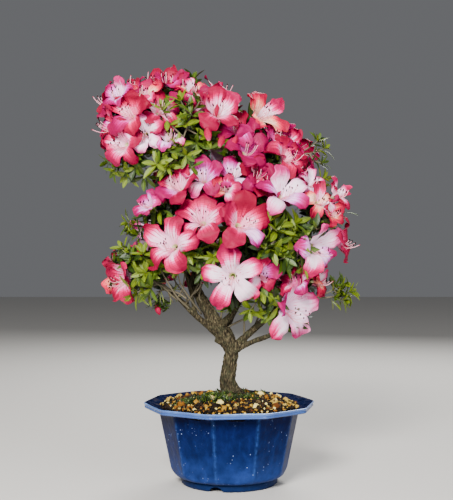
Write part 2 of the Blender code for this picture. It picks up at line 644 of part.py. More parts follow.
class Mass:
    """One mass of foliage while it grows: its space, its shoots, and the forks that shoots start from."""

    def __init__(self, name, spec, limbs):
        self.name = name
        self.centre = Vector(spec["centre"])
        self.radii = Vector(spec["radii"])
        self.rosettes = spec["rosettes"]
        self.limbs = limbs
        self.others = []
        self.random = random.Random(f"{name} {SEED}")
        self.blooms = spec["blooms"] or self.rear_blooms()
        self.parts = []
        self.trees = []
        self.forks = []

    def rear_blooms(self):
        """The blooms of a back mass, spread over its outer side."""
        turn = math.degrees(math.atan2(self.centre.x, REAR_FOCUS))
        blooms = []
        for k in range(REAR_BLOOMS):
            tilt = REAR_SPREAD * math.sqrt((k + 0.5) / REAR_BLOOMS)
            right = 180 - turn + tilt * math.cos(k * GOLDEN_ANGLE)
            up = tilt * math.sin(k * GOLDEN_ANGLE)
            out = [REAR_DEPTH * f * r for f, r in zip(heading(right, up), self.radii)]
            blooms.append((self.centre + Vector(out), right, up, self.random.uniform(*REAR_SCALES)))
        return blooms

    def depth(self, point):
        """How far out a point lies: 0 at the centre, 1 on the mass's oval."""
        away = Vector(point) - self.centre
        return math.sqrt(sum((a / r) ** 2 for a, r in zip(away, self.radii)))

    def owns(self, point):
        """Whether a point lies in this mass's own space."""
        depth = self.depth(point)
        return depth < OVAL_REACH and all(depth < other.depth(point) for other in self.others)

    def clear(self, shoot):
        """Whether a shoot touches no limb, no other mass and no other shoot of its own mass."""
        tree = shoot.tree()
        if any(tree.overlap(limb_tree) for limb_tree in self.limbs):
            return False
        if any(tree.overlap(other) for mass in self.others for other in mass.trees):
            return False
        free = shoot.free_tree()
        return not any(free.overlap(own) for own in self.trees)

    def grow_stem(self, stations):
        """The stem, from 0.3 mm past its limb's tip towards the mass's centre."""
        tip = Vector(stations[-1][:3])
        ahead = (tip - Vector(stations[-2][:3])).normalized()
        start = tip + ahead * GAP
        end = start.lerp(self.centre, STEM_REACH)
        bend = start + ahead * ((end - start).length * STEM_BEND)
        radius = stations[-1][3]
        line = catmull([(*start, radius), (*bend, radius * STEM_TAPER), (*end, TWIG_ROOT_RADIUS)], 2)
        solid = limb(line, STEM_SIDES)
        self.parts.append(solid)
        self.trees.append(BVHTree.FromPolygons(*solid))
        for low, high in zip(line[1:], line[2:]):
            low, high = Vector(low[:3]), Vector(high[:3])
            self.forks += [[low, 0], [low.lerp(high, 0.5), 0]]
        self.forks.append([Vector(line[-1][:3]) - (self.centre - start).normalized(), 0])

    def grow_shoot(self, end, ahead, finish):
        """A shoot from a near fork to an end, which it reaches facing ahead; finish adds what it bears."""
        forks = sorted(self.forks, key=lambda fork: (fork[0] - end).length + FORK_CROWDING * fork[1])
        for fork in forks[:FORKS_TRIED]:
            start = fork[0]
            length = (end - start).length
            if length < SHORTEST_TWIG:
                continue
            for swerve in TWIG_SWERVES:
                aside = Vector([self.random.uniform(-1, 1) for _ in range(3)]) * swerve
                bend = start.lerp(end, TWIG_BEND) + (aside - ahead * TWIG_SAG) * length
                shoot = Shoot(start, bend, end, ahead, TWIG_RADII)
                finish(shoot)
                if self.clear(shoot):
                    fork[1] += 1
                    self.forks.append([start.lerp(bend, FORK_PLACE), 1])
                    self.parts.append(shoot.solid())
                    self.trees.append(shoot.tree())
                    return True
        return False

    def whorl(self, shoot, count):
        """Directions and lengths of leaves round the twig behind a bloom."""
        sides = self.random.sample(range(LOBES), count)
        leaves = {}
        for k in sides:
            tilt = self.random.uniform(*WHORL_TILTS)
            direction = shoot.ahead * math.cos(tilt) + shoot.spoke(k) * math.sin(tilt)
            leaves[k] = (direction.normalized(), LEAF_LENGTH * self.random.uniform(*WHORL_SIZES))
        return leaves

    def grow_bloom(self, throat, facing, scale):
        """A bloom on its leafy twig, eased in or out or made smaller until it is clear."""
        def finish(shoot):
            shoot.add_tube(1, self.whorl(shoot, leaves))
            shoot.add_bloom(size)

        for shift, shrink in BLOOM_TRIES:
            size = scale * shrink
            foot = throat + facing * (shift - FUNNEL_LENGTH * size)
            for leaves in WHORL_TRIES:
                if self.grow_shoot(foot, facing, finish):
                    return

    def grow_blooms(self):
        """All the mass's blooms that have room."""
        for throat, right, up, scale in self.blooms:
            self.grow_bloom(Vector(throat), heading(right, up), scale)

    def grow_rosettes(self):
        """Leafy shoots spread evenly through the mass's outer part, until it has its number of them."""
        turn = self.random.uniform(0, 2 * math.pi)
        grown = 0
        for k in range(ROSETTE_TRIES):
            level = 1 - 2 * ((k * GOLDEN_RATIO) % 1)
            flat = math.sqrt(1 - level * level)
            angle = turn + k * GOLDEN_ANGLE
            ahead = Vector((flat * math.cos(angle), flat * math.sin(angle), level))
            reach = self.random.uniform(*ROSETTE_DEPTHS)
            end = self.centre + Vector([a * r * reach for a, r in zip(ahead, self.radii)])
            size = LEAF_LENGTH * self.random.uniform(*ROSETTE_SIZES)
            spread = self.random.uniform(*ROSETTE_SPREADS)

            def finish(shoot):
                shoot.add_tube(1)
                shoot.add_rosette(spread, [size * self.random.uniform(*LEAF_SIZES) for _ in range(LOBES)])

            if self.owns(end + ahead * (0.5 * size)) and self.grow_shoot(end, ahead, finish):
                grown += 1
            if grown == self.rosettes:
                break

    def join(self):
        """Joins the mass's parts into one closed body."""
        parts = bpy.data.collections.new(self.name)
        for index, solid in enumerate(self.parts[1:]):
            add_solid(f"part{index}", solid, "foliage", parts)
        made = add_solid(self.name, self.parts[0], "foliage")
        modifier = made.modifiers.new("Join", "BOOLEAN")
        modifier.operation = "UNION"
        modifier.solver = "MANIFOLD"
        modifier.operand_type = "COLLECTION"
        modifier.collection = parts
        apply_modifiers(made)
        for part in list(parts.objects):
            bpy.data.objects.remove(part, do_unlink=True)
        bpy.data.collections.remove(parts)
        keep_main_body(made)


def add_foliage(trunk, boughs):
    """Grows all masses side by side, blooms first, so that each keeps clear of the others."""
    limbs = [tree_of(solid_object) for solid_object in (trunk, *boughs.values())]
    lines = {"trunk": TRUNK, **BOUGHS}
    masses = [Mass(name, spec, limbs) for name, spec in MASSES.items()]
    for mass in masses:
        mass.others = [other for other in masses if other is not mass]
        mass.grow_stem(lines[MASSES[mass.name]["limb"]])
    for mass in masses:
        mass.grow_blooms()
    for mass in masses:
        mass.grow_rosettes()
    for mass in masses:
        mass.join()


def build():
    """Builds the whole plant in its pot."""
    clear_scene()
    add_pot()
    add_soil()
    trunk = add_trunk()
    boughs = add_boughs()
    add_foliage(trunk, boughs)


build()
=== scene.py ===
"""The looks of an azalea bonsai in flower, in a ten-sided glazed pot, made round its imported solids.

The origin is the middle of the pot's flat underside, +Z is up and the plant is seen from the -Y side.
Lengths are in millimetres here, and become metres where a mesh, lamp or camera is made.
"""

import math
import random

import bmesh
import bpy
import numpy as np
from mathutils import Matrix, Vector, noise
from mathutils.bvhtree import BVHTree


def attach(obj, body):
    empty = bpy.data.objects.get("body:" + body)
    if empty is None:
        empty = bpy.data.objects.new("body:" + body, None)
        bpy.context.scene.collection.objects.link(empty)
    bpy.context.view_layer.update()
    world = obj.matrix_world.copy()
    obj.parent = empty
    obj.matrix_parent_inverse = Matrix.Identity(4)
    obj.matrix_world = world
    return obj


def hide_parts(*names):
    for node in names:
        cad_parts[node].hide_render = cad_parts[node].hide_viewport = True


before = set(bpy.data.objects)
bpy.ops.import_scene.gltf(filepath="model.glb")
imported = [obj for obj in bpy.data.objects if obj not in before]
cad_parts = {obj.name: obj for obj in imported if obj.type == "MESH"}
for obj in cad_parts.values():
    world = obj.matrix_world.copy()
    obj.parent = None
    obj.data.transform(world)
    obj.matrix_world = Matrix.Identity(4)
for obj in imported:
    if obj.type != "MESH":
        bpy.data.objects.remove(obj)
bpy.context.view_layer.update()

MM = 0.001
UP = np.array((0.0, 0.0, 1.0))
FRONT = np.array((0.0, -1.0, 0.0))
SEED = 11
GOLDEN_RATIO = (math.sqrt(5) - 1) / 2
GOLDEN_ANGLE = 2 * math.pi * (1 - GOLDEN_RATIO)
STEEP = 0.95  # a direction that points up or down by more than this has no upright side
HEAD_ON = 0.9  # and one that faces the front by more than this needs another side to start from

# View: the photograph's upright picture is 500 mm tall at the trunk
VIEW_DISTANCE = 1015.0
VIEW_PLACE = (-3.0, -VIEW_DISTANCE, 231.5)
VIEW_HEIGHT = 500.0
FILM_HEIGHT = 24.0
NEAREST_SEEN = 50.0

# Studio: a lamp's place, its size, watts and colour
LAMPS = {
    "key": ((-350, -1250, 850), 450, 52, (1.0, 0.98, 0.96)),
    "fill": ((850, -950, 450), 800, 9, (0.94, 0.97, 1.0)),
    "rim": ((250, 1100, 1000), 700, 20, (1.0, 1.0, 1.0)),
}
LAMP_AIM = (0, 0, 230)
FLOOR_REACH = 4000.0
FLOOR_DROP = 0.2
SURROUND_COLOUR = "c9cbd0"
SURROUND_LIGHT = 0.24

# Plain-coloured skins: roughness, the clouds that vary it (size, lowest, highest), the depth of the relief
# with its noises (size, detail, strength), and the shader's other values
SKINS = {
    "stone": (0.9, (2.5, 0.75, 1.0), (0.35, (0.9, 5)), dict(Specular_IOR_Level=0.15)),
    "twig": (0.75, (1.5, 0.6, 0.9), (0.3, (0.7, 4)), {}),
    "petal": (0.55, (1.2, 0.42, 0.62), (0.3, (2.2, 3), (0.5, 2, 0.4)), dict(
        Specular_IOR_Level=0.12, Subsurface_Weight=0.12, Subsurface_Radius=(0.004, 0.002, 0.002))),
    "leaf": (0.42, (1.0, 0.34, 0.55), (0.25, (1.5, 3), (0.4, 2, 0.5)), dict(Specular_IOR_Level=0.4)),
}

# Pot
POT_SIDES = 10
POT_TURN = math.radians(-13.0)
POT_HEIGHT = 80.5
RIM_BAND = 5.2
POT_STEPS = 320
CORNER_POWER = 100  # the higher, the sharper the pot's upright corners
BODY_FOOT = (57.0, 6.5)  # corner radius and height where the tapering body starts
BODY_TOP = (70.8, 72.0)  # and where the lip leaves it
PANEL_END_Z = 7.6
PANEL_END_RADIUS = 50.5
PANEL_CORNER_Z = 14.0
BLEND = 1.6  # how sharply the panels turn into the rounding below them, per mm
BOWL_POWER = 0.62  # that rounding opens quickly at first
BOWL_SPREAD = 9.0  # and farther up by so much with each further height of a panel's end
BODY_ROWS = 42
BODY_ROW_POWER = 1.5  # its rows lie closer together towards the foot
BODY_START = 0.15  # height of the body's lowest ring over the panels' ends
FOOT_PROFILE = [
    (0, 0), (20, 0), (36, 0), (45.5, 0), (46.9, 0.2), (47.7, 0.8), (48, 1.8), (48.05, 4), (48, 6.2),
    (47.7, 6.9), (47.3, 7.3), (47.8, 7.5), (49.4, 7.6)]
LIP_PROFILE = [
    (71.3, 72.4), (72.6, 72.9), (75.6, 73.6), (80.0, 74.5), (83.6, 75.1), (84.8, 75.4), (85.3, 76.0),
    (85.25, 76.9), (84.9, 77.6), (85.0, 78.2), (85.55, 78.8), (85.95, 79.5), (85.8, 80.2), (85.2, 80.5),
    (84.3, 80.35), (82.0, 79.4), (78.0, 77.9), (74.0, 76.4), (70.0, 75.0), (67.0, 74.0), (65.9, 73.4),
    (65.3, 72.4), (64.6, 70.0)]
LIP_LEVEL = 80.0  # outside this radius the lip's height wavers a little
LIP_SINK = 0.3
LIP_WAVES = ((0.25, 3, 1), (0.15, 7, 0))  # height of the waves, number round the lip, and turn
CAVITY_PROFILE = [(56, 44), (47, 15), (20, 15), (0, 15)]
FOOT_RADIUS = 48.0
LIP_FLOOR_Z = 72.0
LIP_EDGE = 85.0
LIP_SLOPE = 0.3  # the lip's top faces up at least so far
EDGE_MARGINS = (0.4, 0.2)  # the band's glaze laps so far inwards and down
SHARP_EDGE = math.radians(40)
ARCHES = 3
ARCH_TURN = math.radians(-16)
ARCH_RADIUS = 8.0
ARCH_HEIGHT = 5.0
ARCH_REACH = (-11.0, 10.0)  # each cut runs from so far inside the foot's edge to outside it
ROD_SIDES = 40
DRAIN_RADIUS = 6.0
DRAIN_OFFSET = 24.0
DRAIN_CUT = (-5.0, 20.0)

# Soil: its large stones lie where the solid's do, and pebbles, crumbs and moss all round them
SKY = 200.0  # a height over all soil
SOIL_RADIUS = 69.0
SOIL_CENTRE = 3.0
SOIL_GRID = (60, 180)  # rings and steps round them
SOIL_SINK = 0.5
SOIL_ROUGHNESS = 0.7
SOIL_LUMPS = 0.35  # lumps to each mm
STONES = 40
STONE_FIELD = (23.0, 62.0)
STONE_SIZES = (5.5, 7.5)
STONE_RISE = -0.35  # a stone's middle lies so much of its size above the soil
STONE_LEVEL = 3  # how finely it is shaped
PEBBLES = 900
PEBBLE_SIZES = (2.2, 4.4)
PEBBLE_RISE = 0.05
PEBBLE_LEVEL = 2
CRUMBS = 5200
CRUMB_SIZES = (1.0, 2.2)
CRUMB_RISE = 0.3
CRUMB_LEVEL = 1
CRUMBS_BARE = 0.88  # so many of the crumbs are earthy
CHIPPING = 0.12  # how rough a stone is
STONE_STRETCH = (0.7, 1.25)
BARE_SHARES = ((15, 0.95), (36, 0.72), (70, 0.5))  # distance from the trunk, share of dark earthy bits
MOSS_PATCHES = (((-14, -22), 25, 17, 3.4), ((-42, -24), 14, 11, 2.6), ((18, -17), 12, 8, 1.6),
                ((4, 24), 22, 13, 2.4), ((34, 26), 12, 8, 1.6))
STONES_IN_MOSS = 0.2  # the share of stones that moss leaves showing
MOSS_BLADE_AREA = 0.75  # soil to each blade of moss, in square mm
MOSS_BLADE = ((0, 0.5), (0.5, 0.55), (1, 0.1))  # share of its length and half width there
MOSS_LENGTHS = (1.2, 2.8)
MOSS_SPREAD = (0.8, 1.1)
MOSS_SINK = 0.5
MOSS_LEAN = 0.55
MOSS_BEND = 0.3
MOSS_TINTS = (1.0, 1.6, 0.9)  # mean green at a cushion's edge, how much lighter its top is, and spread
DARK_STONES = ("0a0603", "160f08", "261a0e")
PALE_STONES = ("b09240", "987022", "7c4e12", "562f10", "e4d07e", "ba962c", "54442a")
PALE_SHARES = (0.24, 0.2, 0.18, 0.1, 0.1, 0.1, 0.08)
MOSS_GREENS = ("0c1405", "182708", "2e4012", "586c1e")

# Trunk and boughs, as in the solids: centre line and radius
TRUNK_Z = 87.9
TRUNK = [
    (2.4, 0, TRUNK_Z, 7.8), (-0.2, 0, 94.5, 7.6), (-1.8, 0, 103, 7.2), (0.0, 0, 116, 7.1),
    (1.9, 0, 128, 6.7), (0.0, 0, 137, 7.6), (-5.5, 0, 146.5, 8.2), (-11.5, 0, 154.5, 8.1),
    (-19.5, 1, 168, 6.4), (-26.5, 2, 179, 5.8), (-32.5, 4, 191, 5.0), (-34, 8, 206, 4.6),
    (-28, 12, 229, 4.2), (-19, 14, 257, 3.7), (-13, 14, 287, 3.2), (-18, 12, 315, 2.6),
    (-30, 8, 338, 2.0), (-34, 6, 347, 1.7),
]
STUB = [(-6, -1, 139.0, 3.4), (-11, -1.5, 141.0, 3.0), (-15.0, -2, 142.6, 2.0)]
ROOT_FLARE = 3.8
ROOT_FLARE_HEIGHT = 7.0
ROOT_RIDGES = 4
ROOT_TURN = 0.6
ROOT_HOLLOW = 0.9
BOUGHS = {
    "right": [(1, 0, 130, 4.0), (8, -3, 138, 3.8), (20.5, -7, 149.5, 3.4), (35.5, -12, 164, 3.1),
                    (50, -14, 183, 2.8), (63, -10, 207, 2.3), (70, -7, 222, 2.0)],
    "low_right": [(0, -2, 127, 3.0), (9, -5, 133.0, 2.9), (20.5, -9, 139.8, 2.6),
                        (34.5, -11, 145.0, 2.4), (44, -11, 149.5, 2.2), (53, -10, 157, 1.9)],
    "centre": [(-11, -1, 153, 3.8), (-5, -6, 160.0, 3.6), (2.5, -10, 169.0, 3.1), (8, -12, 184, 2.3)],
    "low_left": [(-14, -1, 149, 3.6), (-22.5, -5, 157.5, 3.1), (-34.0, -9, 167.0, 2.8),
                       (-48, -12, 181.5, 2.3), (-58, -12, 190, 1.9)],
    "left": [(-33.5, -8.8, 166.5, 2.1), (-36.5, -8, 181, 1.9), (-41, -7, 200, 1.7),
                   (-46, -7, 217, 1.5)],
    "middle": [(-26, 12.3, 236, 2.8), (-12, 7, 245, 2.5), (4, 1, 254, 2.0)],
    "middle_left": [(-18, 14, 262, 2.5), (-25, 8, 274, 2.2), (-32, 2, 286, 1.8)],
    "upper_right": [(-13, 14, 285, 2.6), (2, 9, 302, 2.3), (17, 3, 318, 1.8)],
    "upper_left": [(-15, 13.5, 300, 2.4), (-36, 8, 317, 2.1), (-59, 2, 333, 1.7)],
    "back_top": [(-19, 11.5, 317, 2.0), (-27, 22, 330, 1.8), (-34, 31, 340, 1.5)],
    "back_right": [(-13.5, 14, 291, 2.6), (6, 22, 301, 2.2), (22, 31, 307, 1.7)],
    "back_middle": [(-23, 13, 245, 2.6), (-25, 24, 258, 2.2), (-26, 34, 267, 1.7)],
    "back_low_left": [(-28, 2.2, 182, 3.2), (-36, 13, 196, 2.8), (-45, 25, 208, 2.0)],
    "back_low_right": [(-6, 0, 147, 3.6), (4, 12, 168, 3.0), (18, 24, 192, 2.5), (26, 31, 205, 1.9)],
}
RING_SPACING = 0.7  # along a limb, and about the same round it
LIMB_STEPS = 24
FEWEST_SIDES = 12  # of a limb
LIMB_SEED = 7.3  # sets the bark of each limb apart
BARK_RELIEF = 0.75  # depth of the bark's ridges on a limb with BARK_RADIUS
BARK_RADIUS = 5.0
MOST_RELIEF = 1.6
BARK_NOISES = ((0.55, 0.11), (0.16, 0.07), (1.4, 0.5))  # pace across and along of ridges, lumps and grain
BARK_LEVEL = 0.7
RIDGE_SHARE = -3.2
GRAIN_SHARE = 0.5
LUMP_SHARE = 0.09
VOXEL = 0.65
EASING = (0.4, 2)  # how strongly the joined skin is smoothed, and how often

# Bare twigs that cross below the crown: (x, y, z) along each
BARE_TWIGS = [
    [(-9, 0, 156), (-8, -4, 168), (-6, -8, 176), (-7, -9, 189)],
    [(-3, -2, 154), (12, -9, 162), (27, -14, 168), (44, -16, 174)],
    [(14.5, -6, 148), (14.6, -9, 158), (14, -12, 165)],
    [(-31, -7, 165), (-36, -4, 178), (-38, -2, 192)],
    [(-22, 1, 172), (-30, -4, 184), (-27, -6, 198)],
    [(-44, -12, 178), (-36, -10, 188), (-30, -8, 199)],
    [(42, -11, 148), (40, -14, 152), (43, -17, 155)],
    [(42, -11, 148), (46, -15, 148), (49, -16, 151)],
    [(24, -8, 154), (30, -4, 168), (33, 0, 180)],
    [(-17, 0, 163), (-16, 8, 176), (-8, 12, 190)],
    [(-36, -8, 170), (-50, -22, 184), (-60, -30, 200), (-66, -34, 212)],
    [(-28, -6, 168), (-40, -24, 186), (-48, -32, 200), (-50, -36, 212)],
    [(-48, -12, 181), (-56, -16, 186), (-66, -20, 196), (-76, -22, 200)],
    [(-40, -10, 174), (-44, -6, 186), (-54, -4, 200), (-58, -6, 214)],
    [(-50, -20, 186), (-46, -18, 194), (-44, -20, 208)],
    [(-42, -22, 184), (-52, -20, 190), (-64, -14, 192), (-72, -10, 190)],
    [(-38, -7, 186), (-30, -12, 194), (-26, -16, 208)],
]
BARE_TWIG_RADII = (1.1, 0.55)
BARE_TWIG_FINENESS = (5, 6)  # steps along each stretch, and sides
OPENING = ((-51, 193), (23, 14))  # only they cross here, seen from the front: middle, half width and height

# Foliage: a mass fills an oval, given by its middle and half widths, and grows from one stem at the tip of
# the bough of its name, or else of the trunk. A bloom is a throat's place, the way it faces (degrees right
# of straight ahead, degrees up), its scale and its colouring. A back mass spreads its own.
MASSES = {
    "upper_left": ((-91, -3, 352), (41, 44, 44), [
        ((-109, -24, 383), -30, 35, 0.62, "lilac"), ((-95, -38, 363), -26, 26, 0.86, "red"),
        ((-117, -16, 355), -75, 8, 0.78, "red"), ((-104, -36, 334), -36, 6, 0.8, "rose"),
        ((-81, -42, 343), -4, 2, 0.66, "pale"), ((-58, -38, 337), 15, 58, 0.6, "pale"),
        ((-83, -24, 383), -10, 42, 0.66, "peach"), ((-68, -32, 367), 20, 34, 0.72, "rose"),
        ((-96, -8, 392), -25, 60, 0.6, "red"), ((-121, 0, 378), -80, 30, 0.7, "pink"),
        ((-110, 22, 343), -120, 5, 0.85, "lilac")]),
    "top": ((-36, -4, 368), (46, 42, 42), [
        ((-61, -10, 398), 0, 50, 0.66, "pink"), ((-77, -4, 396), -30, 55, 0.62, "red"),
        ((-47, -14, 389), 8, 48, 0.6, "red"), ((-36, -18, 387), 22, 40, 0.62, "peach"),
        ((-11, -36, 366), 12, 30, 0.88, "rose"), ((-24, -22, 375), -12, 30, 0.6, "red"),
        ((-12, 10, 388), 60, 50, 0.8, "rose"), ((-56, 28, 388), -150, 50, 0.8, "rose")]),
    "upper_right": ((34, -6, 334), (50, 44, 44), [
        ((31, -14, 366), 42, 28, 0.9, "peach"), ((9, -28, 348), -16, 42, 0.74, "pink"),
        ((17, -38, 328), 28, 30, 0.82, "pink"), ((56, -26, 322), 44, 30, 0.84, "red"),
        ((26, -36, 304), 14, 18, 0.66, "pink"), ((45, -14, 342), 30, 40, 0.62, "pink"),
        ((66, -18, 310), 55, 15, 0.6, "red"), ((60, 4, 338), 95, 25, 0.75, "rose")]),
    "middle_left": ((-38, -6, 300), (42, 42, 32), [
        ((-50, -36, 293), -36, 34, 0.8, "rose"), ((-25, -38, 301), -8, 38, 0.72, "lilac"),
        ((2, -34, 304), 6, 32, 0.62, "lilac"), ((-4, -42, 290), 0, 16, 0.52, "peach"),
        ((-64, 20, 302), -112, 10, 0.8, "white")]),
    "middle": ((26, -10, 260), (44, 48, 38), [
        ((12, -52, 257), 28, 18, 0.96, "rose"), ((51, -44, 286), 22, 26, 0.9, "white"),
        ((33, -34, 296), 16, 24, 0.62, "pink")]),
    "left": ((-54, -9, 245), (42, 44, 36), [
        ((-56, -52, 236), -26, 12, 0.96, "rose"), ((-27, -48, 261), -12, 32, 0.92, "rose"),
        ((-79, -28, 276), -42, 20, 0.52, "lilac"),
        ((-80, 22, 248), -120, 10, 0.85, "pale")]),
    "right": ((84, -3, 250), (40, 42, 46), [
        ((85, -30, 234), 40, -6, 0.92, "pale"), ((111, -6, 240), 76, 0, 0.8, "rose"),
        ((88, -28, 279), 28, 18, 0.62, "peach"), ((107, -10, 287), 60, 30, 0.58, "peach"),
        ((99, -22, 269), 52, 8, 0.6, "peach"), ((80, -20, 296), 42, 34, 0.56, "pale"),
        ((98, 14, 272), 110, 20, 0.8, "rose")]),
    "centre": ((12, -9, 207), (44, 46, 37), [
        ((2, -52, 206), -5, -2, 1.06, "white"), ((30, -38, 209), 22, 0, 0.64, "rose")]),
    "low_left": ((-84, -6, 204), (45, 36, 34), [
        ((-105, -13, 205), -50, -5, 0.88, "rose"),
        ((-110, 20, 208), -120, 5, 0.85, "peach")]),
    "low_right": ((78, -3, 186), (52, 36, 34), [
        ((60, -16, 174), 44, -6, 1.1, "pale"), ((66, -22, 200), -24, 46, 0.62, "rose"),
        ((89, -12, 201), 72, 6, 0.6, "peach"), ((82, 2, 202), 80, 25, 0.7, "rose")]),
    "back_top": ((-46, 42, 348), (50, 38, 44), []),
    "back_right": ((40, 42, 316), (48, 38, 44), []),
    "back_middle": ((-24, 44, 276), (50, 36, 36), []),
    "back_low_left": ((-56, 38, 222), (44, 36, 34), []),
    "back_low_right": ((36, 40, 228), (50, 36, 40), []),
}

# Leafy shoots that stand before the blooms or out of the crown: a tip's place, the way it points
# (degrees right, degrees up) and the length of its leaves
SPRAYS_SEEN = [
    ((-38, -42, 363), -12, 55, 20), ((-47, -40, 375), -30, 60, 18), ((-29, -40, 374), 20, 62, 18),
    ((-43, -38, 352), -20, 20, 17), ((-70, -44, 314), -20, 10, 20), ((-56, -44, 325), -35, 35, 18),
    ((-42, -40, 322), 10, -15, 19), ((-50, -42, 331), -10, 45, 17),
    ((39, -42, 260), -10, 40, 21), ((45, -46, 250), 30, 35, 23), ((60, -42, 241), 50, 15, 26),
    ((53, -44, 224), 35, -12, 25), ((67, -40, 230), 62, -8, 27), ((41, -46, 231), 5, -25, 23),
    ((63, -40, 257), 50, 38, 22), ((47, -44, 238), 20, 5, 23),
    ((-95, -32, 222), -45, 25, 18), ((-81, -36, 210), -20, 5, 20), ((-68, -38, 215), 5, 5, 20),
    ((-76, -36, 194), -12, -30, 20), ((-90, -30, 190), -50, -38, 24),
    ((-104, -24, 234), -55, 35, 16), ((-88, -32, 206), -35, -10, 18), ((-84, -32, 228), -20, 45, 17),
    ((31, -38, 191), 0, -12, 20), ((44, -38, 184), 20, -25, 20), ((56, -38, 192), 30, 5, 20),
    ((39, -36, 172), 8, -42, 20), ((20, -36, 174), -12, -38, 18), ((47, -34, 176), 25, -30, 18),
    ((30, -36, 200), -10, 20, 17),
    ((112, -8, 196), 82, 22, 18), ((120, -6, 190), 86, 6, 18), ((114, -6, 182), 82, -22, 18),
    ((88, -4, 340), 55, 62, 15), ((95, -2, 333), 70, 42, 15), ((92, -4, 318), 80, 22, 15),
    ((93, -8, 302), 75, 12, 15),
    ((-101, -10, 258), -82, 12, 16), ((-90, -14, 247), -70, -6, 16), ((-98, -10, 250), -75, 30, 15),
    ((-113, -16, 311), -60, -22, 20), ((-99, -20, 306), -40, -42, 20), ((-84, -22, 303), -12, -52, 20),
    ((-120, -10, 319), -80, -8, 18), ((-92, -26, 312), -25, -20, 18),
    ((-15, -46, 224), -10, -12, 17), ((-27, -42, 210), -20, -25, 18), ((-8, -48, 234), 10, 10, 16),
    ((66, -38, 282), 45, 5, 17), ((100, -20, 252), 60, 10, 15), ((-22, -34, 341), 0, 20, 18),
    ((-8, -36, 336), 20, -10, 17), ((-32, -36, 334), -15, -20, 18), ((-14, -30, 348), 10, 50, 16),
    ((-60, -40, 312), -10, -20, 18), ((-36, -40, 312), 10, 40, 16), ((108, -8, 189), 75, 0, 18),
    ((104, -10, 196), 60, 30, 17), ((34, -44, 232), 10, 30, 18), ((72, -38, 214), 40, -25, 18),
    ((-40, -44, 229), 0, -15, 18), ((-30, -42, 221), 10, -30, 17), ((-50, -42, 214), -5, -30, 17),
    ((-64, -42, 366), -5, 50, 18), ((-60, -42, 356), 10, 20, 18), ((-58, -40, 326), 0, -30, 18),
]
SPRAY_LEAVES = 6
# painted light: the shoots seen in front of the crown have lighter leaves than its inside
SPRAY_SHADES = (0.5, 0.95)
SIDE_LEAVES = 5
SIDE_LEAF_PLACES = (3.5, 2.6)  # distance of the first from the tip, and from each to the next
SIDE_LEAF_TILT = math.atan2(1, 0.55)
SIDE_LEAF_SIZES = (0.7, 0.95)
SIDE_LEAF_SHADE = 0.1
BUDS_SEEN = [((-20, -42, 336), -10, 60, 16), ((-10, -44, 330), 25, 45, 14), ((2, -40, 331), 40, 50, 13)]
OVAL_REACH = 1.12
CLEAR_ZONE = 40.0  # a bloom's face is clear of leaves and twigs as far as this
FREE_ZONE = 3.0  # and of the shoots in SPRAYS_SEEN only this far
BLOOM_BACK = 1.5  # nothing lies nearer behind a bloom's surface
SHOOT_BACK = 4.0  # and no shoot ends nearer
LIMB_MARGIN = 0.6
LIMB_SAMPLES = 6  # every so many rings of a limb are looked at
REAR_BLOOMS = 5
REAR_SPREAD = 70.0  # degrees from the middle bloom to the outmost
REAR_FOCUS = 200.0  # the back masses face away from a point so far in front of them
REAR_DEPTH = 0.82  # how far out in their mass these blooms lie
REAR_SCALES = (0.9, 1.05)
REAR_COLOURINGS = ("rose", "white", "red", "lilac", "peach", "pink")
REAR_START = 20.0  # a mass whose middle lies farther back than this is a back one
STEM_SHAPE = (0.92, 0.8, 0.55)  # radii to the limb's own at its foot, bend and end
STEM_REACH = 0.8
STEM_BEND = 0.45
FORK_CROWDING = 7.0  # each twig on a fork makes it seem so much farther away
FORKS_TRIED = 12  # a shoot with no way clear from these is left out
TWIG_SHORTEST = 6.0
TWIG_RADII = (0.95, 0.75, 0.5)
TWIG_BEND = (0.6, 0.12, 0.08)  # where along it, back from its end's direction, and to any side
TWIG_FINENESS = (3, 5)
STEM_FINENESS = (4, 8)
YOUNG_RADIUS = 0.8  # thinner twigs are still green
SPRAYS = 32  # leafy shoots of a mass
SPRAYS_TRIED = 300
SPRAY_LIFT = 0.25  # all shoots turn up a little
SPRAY_DEPTHS = (0.35, 0.98)
SPRAY_SIZES = (0.85, 1.3)
SIDE_SHOOTS = 2
SHOOT_LENGTHS = (7, 13)
SHOOT_RADII = (0.55, 0.5, 0.4)
SHOOT_FINENESS = (2, 5)
SHOOT_STARTS = (3, 5)  # the points of a twig that shoots leave from
SHOOT_ARCH = 0.6
SHOOT_PULL = (0.9, 0.2)  # along the twig and up, against a spread of its own
SHOOT_SIZE = 0.85
SHOOT_SHADE = 0.06
SHOOT_LEAVES = (4, 6)
ROSETTE_LEAVES = (5, 8)
ROSETTE_TILTS = (28, 50, 8)  # of the inmost leaf, more at the outmost one, and how they vary
ROSETTE_SIZES = (0.62, 0.38)
ROSETTE_VARIETY = (0.88, 1.12)
ROSETTE_HEIGHT = 2.2
ROSETTE_SHADE = 0.18
WHORL_LEAVES = 7  # behind a bloom
WHORL_TILTS = (62, 100)
WHORL_PLACES = (1, 7)
WHORL_SIZES = (0.95, 1.4)
WHORL_SHADE = 0.1
BLOOM_TWIG = 1.15
SPRAY_TWIG = 1.1
SHADE = (0.05, 0.52, 0.14)  # painted shade of the leaves: their brightness at a mass's middle, more at its outside, and how it varies
LEAF_SHADE = 0.12
BUD_LENGTHS = (9, 15)
BUD_TO_SPRAYS = 8  # every so many shoots, one ends in a bud

